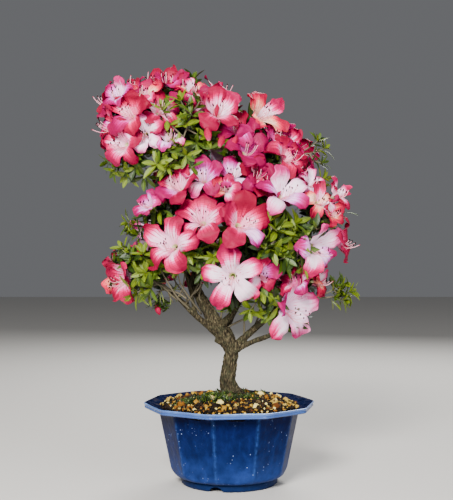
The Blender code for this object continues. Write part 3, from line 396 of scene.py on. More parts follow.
# Bloom: radius and height of a lobe's middle line, from the funnel's foot to the lobe's tip
LOBES = 5
FIFTH = 2 * math.pi / LOBES
BLOOM_RADIUS = 29.0
FUNNEL_LENGTH = 17.0
LOBE_LINE = ((0.0, 1.5, 0.0), (0.12, 2.4, 4.8), (0.24, 4.4, 10.0), (0.36, 8.2, 15.4), (0.50, 13.6, 20.2),
             (0.66, 19.4, 24.0), (0.83, 25.6, 26.2), (1.0, 31.5, 26.4))
LOBE_ROWS = 24
LOBE_COLUMNS = (-1, -0.86, -0.64, -0.58, -0.38, -0.32, -0.05, 0.05, 0.32, 0.38, 0.58, 0.64, 0.86, 1)
VEINS = (2, 4, 6, 8, 10)  # the narrow strips between those columns
LOBE_PARTS = (0.25, 0.40)  # the funnel parts into lobes between these shares of that line
LOBE_WAIST = 8.4  # a lobe's half width where it leaves the funnel
LOBE_WIDTH = 12.0  # and at its widest
NARROWEST = 0.003
LOBE_WIDEST = 0.5  # this far along
LOBE_ROUNDING = (0.36, 1.9, 0.6)  # where its end starts to round off, and two powers of that outline
ROW_SHIFT = 0.12  # the rows lie a little closer together towards the tip
BLOOM_TURN = 0.12  # how the turns of blooms and of their lobes vary
LOBE_TURN = 0.05
LOBE_VARIETY = {  # each lobe draws its own values between these
    "phase": (0, 7), "lag": (0, 4), "width": (0.86, 1.14), "reach": (0.9, 1.07), "sway": (-2, 2),
    "ruffle": (1.2, 4.4), "frill": (0.3, 1.4), "fold": (-5.5, 4.5), "curl": (-1, 10), "cup": (-2.0, 2.4),
    "pitch": (-0.34, 0.3),
}
CRINKLE = (0.14, 12)  # share of the width, and how fast it follows the edge
RUFFLE_PACE = 9
RUFFLE_LAG = 1.2
FRILL_PACE = 21
EDGE_POWER = 2.2  # how closely the ruffles keep to the edges
FOLD_POWER = 2.5
CURL_POWER = 2.8
OVERLAP = (1.1, 0.4)  # each lobe lies over its neighbour, less so at its tip
GROOVE = (0.6, 0.2)  # depth and width of the midrib
GATHER = 0.12  # a lobe's edges draw back towards the funnel
DROOP = 0.26  # the upper lobes lean forward and the lower ones hang back, in radians
BLOOM_PITCH = 0.12  # and all lobes of a bloom share some lean
PITCH_START = 1.6  # how soon that lean sets in along a lobe
TINTS = 10  # steps from a lobe's middle to its rim
COLOURINGS = {
    "white": ("f9dcee", "f9bcda", "ee5496", "c60858", "9c0044"),
    "pale": ("f8daf0", "f6c2e2", "ee90be", "d85492", "b41e66"),
    "rose": ("f8c4e0", "f480b2", "d20a5a", "a80044", "8c0034"),
    "red": ("f6acc6", "ea3070", "bc0046", "980036", "86002c"),
    "peach": ("f9c6b2", "f9947a", "ea4056", "c0043e", "980032"),
    "lilac": ("f2c4f2", "dc80d0", "c03c94", "a80864", "92004c"),
    "pink": ("f28ccc", "d62e96", "b80068", "9e0052", "8a0040"),
}
THROAT_COLOUR = "d8e0a8"
THROAT_SHARE = 0.17
FLUSH = {
    "white": -0.02, "pale": -0.12, "rose": 0.08, "red": 0.24, "peach": 0.0, "lilac": 0.02, "pink": 0.34,
}
FLUSH_VARIETY = 0.16
STREAKS = 0.028
FLUSH_PULL = 0.35  # a strong flush moves the deep colour down the lobe
FLUSH_LIFT = 0.5  # and deepens all of it
FLUSH_FADE = (0.43, 0.52)  # a fade: the share of a lobe where it starts, and over how much it grows
EDGE_FADE = (0.3, 0.3)
STREAK_FADE = (0.2, 0.3)
VEIN_FADE_IN = (0.1, 0.2)
VEIN_FADE_OUT = (0.6, 0.4)
EDGE_FLUSH = (0.35, 1.0)
FLUSH_LEAN = 0.2
VEIN_DEPTH = 1.5  # steps darker
SPECK_DEPTH = 3.5
SPECKS = (0.5, 0.45, 0.14)  # how many, round which share of the lobe, and how far from it
SPECKLED_LOBES = (1.0, 0.6, 0, 0, 0.6)  # the upper lobe has most specks, and its two neighbours some
KIN = {
    "white": ("lilac", "pale"), "pale": ("white", "lilac"), "rose": ("white", "red", "lilac"),
    "red": ("rose", "pink"), "peach": ("rose", "white"), "lilac": ("pale", "pink"),
    "pink": ("red", "lilac"),
}
KIN_SHARE = 0.4  # so many of a bloom's lobes take the colouring of one of its kin
FULLNESS = {
    "white": 0.82, "pale": 0.95, "rose": 1.05, "red": 1.0, "peach": 0.9, "lilac": 1.0, "pink": 1.0,
}

# Stamens, cups and buds
STAMENS = 6
SPREAD_OF_STAMENS = math.radians(62)  # they fan out so far to each side
STAMEN_TURN = 0.15
STAMEN_START = 4.0
STAMEN_BEND = 0.6  # the share of its length where a stamen turns up
STAMEN_SPREADS = (0.25, 0.6)
STAMEN_CURLS = (0.2, 0.6)
STAMEN_PULL = (0.8, -0.3)  # ahead, and how much it closes in, beyond that bend
STAMEN_TAPER = 0.8
STAMEN_FINENESS = (4, 4)
STAMEN_LENGTHS = (25, 33)
STAMEN_THICKNESS = 0.3
ANTHER = (0.7, 0.7, 1.3)
STYLE_LENGTH = 38.0
STYLE_THICKNESS = 0.4
STIGMA = (0.65, 0.65, 0.55)
CUP = ((-2.2, 0.7), (-0.8, 1.5), (1.2, 1.9))  # place along the bloom's axis and radius
BUD_CUP = ((-1.5, 0.6), (0, 1.3), (1.5, 1.5))
CUP_SIDES = 7
BUD_ROWS = 9
BUD_SIDES = 20
BUD_TWIST = 1.6
BUD_RIDGES = 0.14
BUD_DEPTH = 0.9  # how far along the row of tints a bud's tip is
BUD_PROFILE = ((0, 0.8), (0.15, 2.0), (0.45, 3.4), (0.7, 3.0), (0.88, 1.6), (1, 0.15))

# Leaf
LEAF_LENGTH = 18.0
LEAF_WIDTH = 5.8
LEAF_ROWS = 7
LEAF_COLUMNS = (-1.0, -0.09, 0.09, 1.0)
LEAF_REACH = 0.8  # so much of a leaf stays in its own mass
LEAF_SAMPLES = (0.35, 0.7, 1.0)  # shares of its length where a leaf has to be clear
LEAF_ENDS = (0.03, 0.985)
LEAF_POWERS = (1.2, 0.72)  # its widest part lies past the middle, and its sides are full
LEAF_GROWTH = 0.8  # a long leaf is narrower for its length
LEAF_THINNEST = 0.25
LEAF_WIDTHS = (0.85, 1.15)
LEAF_FOLDS = (0.15, 0.5)
LEAF_ARCHES = (-0.02, 0.28)
LEAF_TWISTS = (-0.25, 0.25)
GREENS = ("060c03", "101d06", "22350b", "3d520f", "5e7012", "869418")


def channels(code):
    """The red, green and blue bytes of a six-digit colour code."""
    return np.array([int(code[i:i + 2], 16) for i in (0, 2, 4)])


def linear(code):
    """The linear colour of a six-digit colour code, by the usual display curve."""
    shares = channels(code) / 255
    return (*np.where(shares <= 0.04045, shares / 12.92, ((shares + 0.055) / 1.055) ** 2.4), 1.0)


def between(codes, share):
    """A colour code read along a row of them, from the first at 0 to the last at 1."""
    place = share * (len(codes) - 1)
    k = min(int(place), len(codes) - 2)
    low, high = (channels(code) for code in codes[k:k + 2])
    return "".join(f"{round(value):02x}" for value in low + (high - low) * (place - k))


def unit(vectors):
    """The same directions with length 1."""
    return vectors / np.linalg.norm(vectors, axis=-1, keepdims=True)


def smooth(values):
    """Eases 0 to 1, and holds both ends."""
    values = np.clip(values, 0, 1)
    return values * values * (3 - 2 * values)


def fade(values, start, stretch):
    """Eases from 0 at a start to 1 a stretch farther on."""
    return smooth((values - start) / stretch)


def heading(right, up):
    """The direction that lies so many degrees right of straight ahead and so many up."""
    right, up = math.radians(right), math.radians(up)
    return np.array((math.sin(right) * math.cos(up), -math.cos(right) * math.cos(up), math.sin(up)))


def frame_of(ahead):
    """Two directions at right angles to another: the one nearest to straight up, and the one beside it."""
    wanted = UP if abs(ahead[2]) < STEEP else FRONT
    up = unit(wanted - ahead * ahead.dot(wanted))
    return up, np.cross(ahead, up)


def spoke(ahead, angle):
    """The direction out from an axis, at an angle round it from its upright side."""
    up, across = frame_of(ahead)
    return up * math.cos(angle) + across * math.sin(angle)


def circle(count):
    """The angles of evenly spread steps round a circle."""
    return 2 * math.pi * np.arange(count) / count


def catmull(stations, steps):
    """Points along a smooth line through the stations, steps of them to each stretch."""
    ends = np.array([stations[0], *stations, stations[-1]], float)
    line = []
    for a, b, c, d in zip(ends, ends[1:], ends[2:], ends[3:]):
        for t in np.arange(steps) / steps:
            line.append(((-t + 2 * t ** 2 - t ** 3) * a + (2 - 5 * t ** 2 + 3 * t ** 3) * b
                         + (t + 4 * t ** 2 - 3 * t ** 3) * c + (t ** 3 - t ** 2) * d) / 2)
    line.append(ends[-1])
    return np.array(line)


def bent(places, radii, steps):
    """A smooth line of (x, y, z, radius) through places, with a radius at each."""
    return catmull(np.column_stack([places, radii]), steps)


def grid_faces(rows, columns, wrap=False):
    """The four-cornered faces of a sheet of points, or of a tube if its columns wrap round."""
    order = np.arange(rows * columns).reshape(rows, columns)
    if wrap:
        order = np.hstack([order, order[:, :1]])
    return np.stack([order[:-1, :-1], order[:-1, 1:], order[1:, 1:], order[1:, :-1]], -1).reshape(-1, 4)


def tube(line, sides, relief=None, level_foot=False):
    """Rings of points round a line of (x, y, z, radius); relief gives what each ring adds to its radius."""
    ahead = unit(np.gradient(line[:, :3], axis=0))
    if level_foot:
        ahead[0] = UP
    angles = circle(sides)
    side = np.cross(ahead[0], FRONT if abs(ahead[0].dot(FRONT)) < HEAD_ON else UP)
    rings = []
    for i, along in enumerate(ahead):
        side = unit(side - along * side.dot(along))
        out = np.outer(np.cos(angles), side) + np.outer(np.sin(angles), np.cross(along, side))
        radius = line[i, 3] + (relief(i, angles) if relief else 0)
        rings.append(line[i, :3] + out * np.reshape(radius, (-1, 1)))
    return np.array(rings)


def put(name, data, place=(0, 0, 0)):
    """A new object of the scene, at its place."""
    made = bpy.data.objects.new(name, data)
    made.location = Vector(place) * MM
    bpy.context.scene.collection.objects.link(made)
    return made


def shell(name, points, faces):
    """A new object made of points and faces."""
    mesh = bpy.data.meshes.new(name)
    mesh.from_pydata(np.asarray(points, float) * MM, [], faces)
    return put(name, mesh)


def dress(piece, materials, tints, nodes):
    """Gives a piece its materials and a number for each face, shades it smooth, hangs it on the root body
    and hides the CAD nodes that it stands for.
    """
    for material in materials:
        piece.data.materials.append(material)
    piece.data.polygons.foreach_set("material_index", tints.astype(np.int32))
    piece.data.shade_smooth()
    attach(piece, "root")
    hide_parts(*nodes)


class Pile:
    """Points and faces gathered from many small shapes, each face with the number of its material."""

    def __init__(self):
        self.points = []
        self.faces = []
        self.tints = []
        self.count = 0

    def add(self, points, faces, tints=0):
        """Adds alike shapes: their points (shapes, points, 3), the faces of one, and tints."""
        points = np.asarray(points, float)
        points = points.reshape(-1, *points.shape[-2:])
        shapes, size = points.shape[:2]
        starts = self.count + size * np.arange(shapes)
        self.points.append(points.reshape(-1, 3))
        self.faces.append((faces + starts[:, None, None]).reshape(-1, faces.shape[1]))
        self.tints.append(np.broadcast_to(tints, (shapes, len(faces))).ravel())
        self.count += shapes * size

    def add_tube(self, line, sides, tint=0, **shape):
        """Adds a closed tube round a line of (x, y, z, radius)."""
        ends = line[[0, -1]][:, None, :3].repeat(sides, 1)
        rings = np.concatenate([ends[:1], tube(line, sides, **shape), ends[1:]])
        self.add(rings.reshape(-1, 3), grid_faces(len(rings), sides, wrap=True), tint)

    def make(self, name, materials, nodes):
        """The whole pile as one piece that stands for the CAD nodes named."""
        faces = [face for group in self.faces for face in group.tolist()]
        made = shell(name, np.concatenate(self.points), faces)
        dress(made, materials, np.concatenate(self.tints), nodes)
        made.data.validate()
        return made


# Materials

class Finish:
    """A Principled material, with short ways to add the nodes that vary it."""

    def __init__(self, name, colour, roughness, **sockets):
        self.material = bpy.data.materials.new(name)
        self.material.use_nodes = True
        self.tree = self.material.node_tree
        self.shader = self.tree.nodes["Principled BSDF"]
        self.shader.inputs["Base Color"].default_value = linear(colour)
        self.shader.inputs["Roughness"].default_value = roughness
        for socket, value in sockets.items():
            self.shader.inputs[socket.replace("_", " ")].default_value = value
        self.place = self.tree.nodes.new("ShaderNodeTexCoord").outputs["Object"]

    def add(self, kind, inputs=(), **settings):
        """A new node; inputs pairs a socket's name or number with a value or another node's output."""
        made = self.tree.nodes.new("ShaderNode" + kind)
        for name, value in settings.items():
            setattr(made, name, value)
        for socket, value in inputs:
            self.feed(made.inputs[socket], value)
        return made

    def feed(self, socket, value):
        """Links an output to a socket, or sets the socket to a colour code or a plain value."""
        if isinstance(value, bpy.types.NodeSocket):
            self.tree.links.new(value, socket)
        else:
            socket.default_value = linear(value) if isinstance(value, str) else value

    def spots(self, size, detail=3.0, stretch=(1, 1, 1)):
        """Cloudy noise whose features are about size across; stretch lengthens them along an axis."""
        scale = tuple(1 / value for value in stretch)
        place = self.add("Mapping", [("Vector", self.place), ("Scale", scale)]).outputs["Vector"]
        made = self.add("TexNoise", [("Vector", place), ("Scale", 1 / (size * MM)), ("Detail", detail)])
        return made.outputs["Fac"]

    def cells(self, size, feature="F1"):
        """The distance to the nearest of scattered points that lie about size apart."""
        made = self.add("TexVoronoi", [("Vector", self.place), ("Scale", 1 / (size * MM))], feature=feature)
        return made.outputs["Distance"]

    def ramp(self, factor, *stops):
        """A value or a colour code for each stop, read by the factor."""
        made = self.add("ValToRGB", [("Fac", factor)])
        elements = made.color_ramp.elements
        while len(elements) < len(stops):
            elements.new(0.5)
        for element, (position, value) in zip(elements, stops):
            element.position = position
            element.color = linear(value) if isinstance(value, str) else (value, value, value, 1)
        return made.outputs["Color"]

    def math(self, operation, first, second=0.0):
        """The result of one sum."""
        return self.add("Math", [(0, first), (1, second)], operation=operation).outputs[0]

    def times(self, first, second):
        """The product of two."""
        return self.math("MULTIPLY", first, second)

    def paint(self, colour, *layers):
        """Feeds the base colour, with each layer's factor and colour laid over it in turn."""
        for factor, over in layers:
            made = self.add("Mix", [(0, factor)], data_type="RGBA")
            self.feed(made.inputs["A"], colour)
            self.feed(made.inputs["B"], over)
            colour = made.outputs["Result"]
        self.feed(self.shader.inputs["Base Color"], colour)

    def bump(self, depth, height):
        """Relief from a height between 0 and 1."""
        made = self.add("Bump", [("Height", height), ("Distance", depth * MM), ("Strength", 1.0)])
        self.feed(self.shader.inputs["Normal"], made.outputs["Normal"])

    def grain(self, depth, coarse, *finer):
        """Relief of cloudy noise (size, detail), with finer noises (size, detail, strength) on it."""
        height = self.spots(*coarse)
        for size, detail, strength in finer:
            height = self.math("ADD", height, self.times(self.spots(size, detail), strength))
        self.bump(depth, height)

    def vary(self, factor, low, high):
        """Lets a factor between 0 and 1 drive the roughness between two values."""
        made = self.add("MapRange", [("Value", factor), ("To Min", low), ("To Max", high)])
        self.feed(self.shader.inputs["Roughness"], made.outputs["Result"])


def skin(kind, name, colour):
    """A plain-coloured material with the grain of its kind."""
    roughness, (size, low, high), relief, sockets = SKINS[kind]
    made = Finish(name, colour, roughness, **sockets)
    made.grain(*relief)
    made.vary(made.spots(size), low, high)
    return made.material


def skins(kind, prefix, codes):
    """A skin of one kind for each colour code."""
    return [skin(kind, f"{prefix}_{code}", code) for code in codes]


def body_glaze():
    """Deep cobalt glaze, mottled, streaked and speckled, paler low on the panels, and paler in patches
    along its corners: a painted highlight on glaze rubbed thin there.
    """
    made = Finish("glaze_body", "0a1648", 0.3, Specular_IOR_Level=0.04)
    x, y, z = made.add("SeparateXYZ", [("Vector", made.place)]).outputs
    height = made.math("DIVIDE", z, POT_HEIGHT * MM)
    angle = made.math("SUBTRACT", made.math("ARCTAN2", x, made.times(y, -1.0)), POT_TURN)
    from_corner = made.math("ABSOLUTE", made.math("SINE", made.times(angle, POT_SIDES / 2)))
    cloud = made.spots(10, 6)
    streaks = made.ramp(made.spots(5, 4, (1, 1, 3)), (0.5, 0.0), (0.8, 0.22))
    low = made.times(made.ramp(height, (0.14, 0.7), (0.45, 0.15), (0.8, 0.0)), cloud)
    # pale patches along the corners: a painted highlight on the rounded corners, on glaze rubbed thin there
    wear_and_sheen = made.ramp(made.spots(4, 4), (0.35, 0.15), (0.65, 1.0))
    corners = made.times(made.ramp(from_corner, (0.0, 0.42), (0.05, 0.2), (0.2, 0.0)), wear_and_sheen)
    clusters = made.ramp(made.spots(11, 2), (0.52, 0.0), (0.62, 1.0))
    specks = made.times(made.ramp(made.cells(3.2), (0.1, 0.8), (0.17, 0.0)), clusters)
    foot = made.ramp(height, (0.085, 0.8), (0.11, 0.0))
    made.paint(made.ramp(cloud, (0.3, "040b30"), (0.5, "050e36"), (0.7, "081340")),
               (streaks, "1c3880"), (low, "34529c"), (corners, "3c62a8"), (specks, "a0b8e6"),
               (foot, "0c1a38"))
    made.vary(cloud, 0.3, 0.55)
    made.grain(0.5, (9, 3), (1.6, 2, 0.25))
    return made.material


def rim_glaze():
    """The lip's upright edge: periwinkle in bands, and almost white along its top, a painted highlight on
    glaze rubbed thin there.
    """
    made = Finish("glaze_rim", "42629b", 0.3, Specular_IOR_Level=0.4)
    z = made.add("SeparateXYZ", [("Vector", made.place)]).outputs["Z"]
    up = made.math("DIVIDE", made.math("SUBTRACT", z, (POT_HEIGHT - RIM_BAND) * MM), RIM_BAND * MM)
    # the last, almost white stop is a painted highlight along the top edge, where the glaze is also rubbed
    # thin
    bands = made.ramp(up, (0.0, "22386e"), (0.2, "48679f"), (0.42, "2f4a86"), (0.6, "557cc0"),
                      (0.8, "4a6cae"), (0.96, "8fb4ee"))
    cloud = made.ramp(made.spots(8, 4), (0.35, 0.0), (0.7, 0.55))
    made.paint(bands, (cloud, "223a78"))
    made.vary(cloud, 0.2, 0.5)
    made.grain(0.3, (3, 3))
    return made.material


def lip_glaze():
    """The lip's sloping top: dark blue, rubbed through in patches to brown clay."""
    made = Finish("glaze_lip", "0c1230", 0.6, Specular_IOR_Level=0.0)
    wear = made.spots(6, 5)
    specks = made.ramp(made.cells(2.2), (0.12, 0.6), (0.2, 0.0))
    made.paint(made.ramp(wear, (0.32, "060a1c"), (0.48, "0e1634"), (0.58, "1e2238"), (0.72, "3a3232")),
               (specks, "4a5a88"))
    made.vary(wear, 0.35, 0.75)
    made.grain(0.4, (1.8, 4))
    return made.material


def bark():
    """Fibrous grey-brown bark with dark cracks and patches of grey-green lichen."""
    made = Finish("bark", "57523f", 0.9, Specular_IOR_Level=0.2)
    fibres = made.spots(1.1, 9, (1, 1, 4.0))
    patches = made.ramp(made.spots(6, 5), (0.46, 0.0), (0.66, 0.45))
    lichen = made.ramp(made.spots(0.8, 3), (0.3, "1a1e10"), (0.7, "4c5138"))
    made.paint(made.ramp(fibres, (0.34, "14100a"), (0.44, "2a2416"), (0.56, "443c2a"), (0.68, "6c6248")),
               (patches, lichen))
    cracks = made.ramp(made.cells(1.9, "DISTANCE_TO_EDGE"), (0.0, 0.0), (0.12, 1.0))
    made.bump(0.9, made.math("ADD", made.times(fibres, 0.7), made.times(cracks, 0.3)))
    made.vary(fibres, 0.75, 1.0)
    return made.material


# Camera, floor and light

def add_camera():
    """The camera at the photograph's viewing angle."""
    camera = bpy.data.cameras.new("camera")
    camera.sensor_width = FILM_HEIGHT
    camera.lens = FILM_HEIGHT * VIEW_DISTANCE / VIEW_HEIGHT
    camera.clip_start = NEAREST_SEEN * MM
    placed = put("camera", camera, VIEW_PLACE)
    placed.rotation_euler = (math.pi / 2, 0, 0)
    bpy.context.scene.camera = placed


def add_studio():
    """A pale floor, a soft lamp on each side of the camera, one behind, and a pale surround."""
    corners = [(x * FLOOR_REACH, y * FLOOR_REACH, 0) for x, y in ((-1, -1), (1, -1), (1, 1), (-1, 1))]
    floor = shell("floor", corners, [(0, 1, 2, 3)])
    floor.location.z = -FLOOR_DROP * MM
    paint = Finish("floor_paint", "cfccc6", 0.85)
    paint.grain(0.05, (4, 3))
    floor.data.materials.append(paint.material)
    for name, (place, size, watts, colour) in LAMPS.items():
        lamp = bpy.data.lights.new(name, "AREA")
        lamp.size = size * MM
        lamp.energy = watts
        lamp.color = colour
        aim = Vector(LAMP_AIM) - Vector(place)
        put(name, lamp, place).rotation_euler = aim.to_track_quat("-Z", "Y").to_euler()
    world = bpy.data.worlds.new("studio")
    world.use_nodes = True
    surround = world.node_tree.nodes["Background"].inputs
    surround["Color"].default_value = linear(SURROUND_COLOUR)
    surround["Strength"].default_value = SURROUND_LIGHT
    bpy.context.scene.world = world


# Pot

def ten_sided(angles):
    """The share of a ring's corner radius that its slightly rounded ten-sided outline reaches."""
    normals = POT_TURN + 2 * math.pi * (np.arange(POT_SIDES) + 0.5) / POT_SIDES
    facing = np.clip(np.cos(angles[:, None] - normals), 0, 1)
    return math.cos(math.pi / POT_SIDES) / np.power(facing, CORNER_POWER).sum(1) ** (1 / CORNER_POWER)


def ring_points(radii, z, angles):
    """A level ring with a radius for each angle, from the front round to the right."""
    return np.stack(np.broadcast_arrays(radii * np.sin(angles), -radii * np.cos(angles), z), -1)


def pot_rings(angles):
    """All rings of the pot: up the round foot, the ten-sided body and lip, and down inside."""
    outline = ten_sided(angles)
    rings = [ring_points(radius, z, angles) for radius, z in FOOT_PROFILE]
    taper = (BODY_TOP[0] - BODY_FOOT[0]) / (BODY_TOP[1] - BODY_FOOT[1])
    corner_radius = BODY_FOOT[0] + taper * (PANEL_CORNER_Z - BODY_FOOT[1])
    start = PANEL_END_Z + BODY_START
    for share in np.linspace(0, 1, BODY_ROWS) ** BODY_ROW_POWER:
        z = start + (BODY_TOP[1] - start) * share
        sides = (BODY_FOOT[0] + taper * (z - BODY_FOOT[1])) * outline
        rise = (z - PANEL_END_Z) / (PANEL_CORNER_Z - PANEL_END_Z)
        bowl = (PANEL_END_RADIUS + (corner_radius - PANEL_END_RADIUS) * rise ** BOWL_POWER
                + BOWL_SPREAD * max(0, rise - 1))
        radii = sides - np.log(1 + np.exp(-BLEND * (bowl - sides))) / BLEND
        rings.append(ring_points(radii, z, angles))
    wave = sum(height * np.sin(number * angles + turn) for height, number, turn in LIP_WAVES)
    for radius, z in LIP_PROFILE:
        if radius > LIP_LEVEL:
            z = z + wave * (z - BODY_TOP[1]) / (POT_HEIGHT - BODY_TOP[1]) - LIP_SINK
        rings.append(ring_points(radius * outline, z, angles))
    rings += [ring_points(radius * outline, z, angles) for radius, z in CAVITY_PROFILE]
    return np.array(rings)


def apply_modifiers(piece):
    """Replaces a piece's mesh by the one its modifiers give."""
    graph = bpy.context.evaluated_depsgraph_get()
    mesh = bpy.data.meshes.new_from_object(piece.evaluated_get(graph))
    piece.modifiers.clear()
    piece.data = mesh


def bore(piece, start, end, radius):
    """Cuts a round rod from one place to another out of a piece."""
    rings = tube(np.array([(*start, radius), (*end, radius)], float), ROD_SIDES)
    caps = [list(range(ROD_SIDES))[::-1], list(range(ROD_SIDES, 2 * ROD_SIDES))]
    cutter = shell("cutter", rings.reshape(-1, 3), caps + grid_faces(2, ROD_SIDES, wrap=True).tolist())
    modifier = piece.modifiers.new("Cut", "BOOLEAN")
    modifier.operation = "DIFFERENCE"
    modifier.solver = "MANIFOLD"
    modifier.object = cutter
    apply_modifiers(piece)
    bpy.data.objects.remove(cutter, do_unlink=True)


def add_pot():
    """The glazed pot, with its foot's arches and its drain holes cut."""
    rings = pot_rings(circle(POT_STEPS))
    middles = rings[[0, -1], 0] * (0, 0, 1)
    body = rings[1:-1]
    points = np.concatenate([body.reshape(-1, 3), middles])
    faces = grid_faces(len(body), POT_STEPS, wrap=True).tolist()
    low, high = len(points) - 2, len(points) - 1
    last = (len(body) - 1) * POT_STEPS
    around = list(enumerate(np.roll(np.arange(POT_STEPS), -1).tolist()))
    faces += [[low, b, a] for a, b in around] + [[high, last + a, last + b] for a, b in around]
    made = shell("pot_glazed", points, faces)
    for k in range(ARCHES):
        angle = ARCH_TURN + 2 * math.pi * k / ARCHES
        inner, outer = ([radius * math.sin(angle), -radius * math.cos(angle), ARCH_HEIGHT - ARCH_RADIUS]
                        for radius in (FOOT_RADIUS + ARCH_REACH[0], FOOT_RADIUS + ARCH_REACH[1]))
        bore(made, inner, outer, ARCH_RADIUS)
    for x in (-DRAIN_OFFSET, DRAIN_OFFSET):
        bore(made, (x, 0, DRAIN_CUT[0]), (x, 0, DRAIN_CUT[1]), DRAIN_RADIUS)
    mesh = made.data
    mesh.materials.clear()
    centres, normals = np.empty(len(mesh.polygons) * 3), np.empty(len(mesh.polygons) * 3)
    mesh.polygons.foreach_get("center", centres)
    mesh.polygons.foreach_get("normal", normals)
    x, y, z = centres.reshape(-1, 3).T / MM
    corner_radius = np.hypot(x, y) / ten_sided(np.arctan2(x, -y))
    lip = (z > LIP_FLOOR_Z) & (normals[2::3] > LIP_SLOPE) & (corner_radius < LIP_EDGE)
    inwards, down = EDGE_MARGINS
    rim = (z > POT_HEIGHT - RIM_BAND - down) & (corner_radius >= LIP_EDGE - inwards) & ~lip
    dress(made, [body_glaze(), rim_glaze(), lip_glaze()], rim + 2 * lip, ["pot"])
    mesh.set_sharp_from_angle(angle=SHARP_EDGE)


# Soil

class Ground:
    """The surface of the soil's own solid, to lay things on."""

    def __init__(self):
        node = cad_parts["soil"]
        corners = [node.matrix_world @ vertex.co / MM for vertex in node.data.vertices]
        self.tree = BVHTree.FromPolygons(corners, [tuple(face.vertices) for face in node.data.polygons])

    def heights(self, x, y):
        """The height of the surface at each place."""
        places = zip(np.ravel(x).tolist(), np.ravel(y).tolist())
        found = [self.tree.ray_cast(Vector((a, b, SKY)), Vector(-UP))[0] for a, b in places]
        return np.array([point.z if point else LIP_FLOOR_Z for point in found]).reshape(np.shape(x))


def ball(level):
    """A sphere of triangles: its unit points and its faces."""
    mesh = bmesh.new()
    bmesh.ops.create_icosphere(mesh, subdivisions=level, radius=1)
    points = np.array([vertex.co for vertex in mesh.verts])
    faces = np.array([[vertex.index for vertex in face.verts] for face in mesh.faces])
    mesh.free()
    return points, faces


def rough_stones(dice, level, places, sizes):
    """Rough stones at given places: an array of their points, and the faces of one."""
    base, faces = ball(level)
    count = len(sizes)
    rough = 1 + dice.normal(0, CHIPPING, (count, len(base)))
    stretch = dice.uniform(*STONE_STRETCH, (count, 1, 3))
    x, y, z = np.moveaxis(base * rough[..., None] * stretch * sizes[:, None, None] / 2, -1, 0)
    turn = dice.uniform(0, 2 * math.pi, count)
    cosine, sine = np.cos(turn)[:, None], np.sin(turn)[:, None]
    return np.stack([x * cosine - y * sine, x * sine + y * cosine, z], -1) + places[:, None], faces


def spiral(count, inner, outer):
    """Places spread evenly over a ring, as (x, y)."""
    k = np.arange(count)
    distance = np.sqrt(inner ** 2 + (outer ** 2 - inner ** 2) * (k + 0.5) / count)
    return distance * np.sin(k * GOLDEN_ANGLE), -distance * np.cos(k * GOLDEN_ANGLE)


def scatter(dice, count, spread):
    """Places spread over the whole soil, each moved a little at random."""
    x, y = spiral(count, 0, SOIL_RADIUS - spread)
    return x + dice.uniform(-spread, spread, count), y + dice.uniform(-spread, spread, count)


def moss_cover(x, y):
    """How deep a place lies inside the nearest patch of moss: 1 at its middle, 0 at its edge."""
    depths = [1 - np.hypot((x - a) / wide, (y - b) / deep) for (a, b), wide, deep, _ in MOSS_PATCHES]
    return np.max(depths, axis=0)


def add_soil():
    """Dark soil strewn with cream and ochre stones, pebbles and crumbs."""
    dice = np.random.default_rng(SEED)
    land = Ground()
    rows, columns = SOIL_GRID
    angles = circle(columns)
    radii = np.linspace(SOIL_CENTRE, SOIL_RADIUS, rows)[:, None]
    x, y = radii * np.sin(angles), -radii * np.cos(angles)
    rough = [noise.noise(Vector((a, b, 0)) * SOIL_LUMPS) for a, b in zip(x.ravel(), y.ravel())]
    z = land.heights(x, y) - SOIL_SINK + SOIL_ROUGHNESS * np.reshape(rough, x.shape)
    pile = Pile()
    pile.add(np.stack([x, y, z], -1).reshape(-1, 3), grid_faces(rows, columns, wrap=True))

    def lay(level, x, y, sizes, rise, bare, spare=STONES_IN_MOSS):
        """Adds stones, pale or, as often as bare says, earthy; where there is moss only the spared ones."""
        shown = (moss_cover(x, y) <= 0) | (dice.random(len(x)) < spare)
        places = np.stack([x, y, land.heights(x, y) + sizes * rise], -1)
        earthy = dice.random(len(x)) < bare
        pale = dice.choice(len(PALE_STONES), len(x), p=PALE_SHARES)
        tints = np.where(earthy, dice.integers(0, len(DARK_STONES), len(x)), len(DARK_STONES) + pale)
        pile.add(*rough_stones(dice, level, places[shown], sizes[shown]), tints[shown][:, None])

    x, y = scatter(dice, PEBBLES, PEBBLE_SIZES[1] / 2)
    bare = np.interp(np.hypot(x, y), *zip(*BARE_SHARES))
    lay(PEBBLE_LEVEL, x, y, dice.uniform(*PEBBLE_SIZES, PEBBLES), PEBBLE_RISE, bare)
    x, y = scatter(dice, CRUMBS, CRUMB_SIZES[1] / 2)
    lay(CRUMB_LEVEL, x, y, dice.uniform(*CRUMB_SIZES, CRUMBS), CRUMB_RISE, CRUMBS_BARE)
    x, y = spiral(STONES, *STONE_FIELD)
    lay(STONE_LEVEL, x, y, dice.uniform(*STONE_SIZES, STONES), STONE_RISE, 0, 1)
    pile.make("soil_and_pebbles", skins("stone", "stone", (*DARK_STONES, *PALE_STONES)), ["soil"])
    add_moss(land, dice)


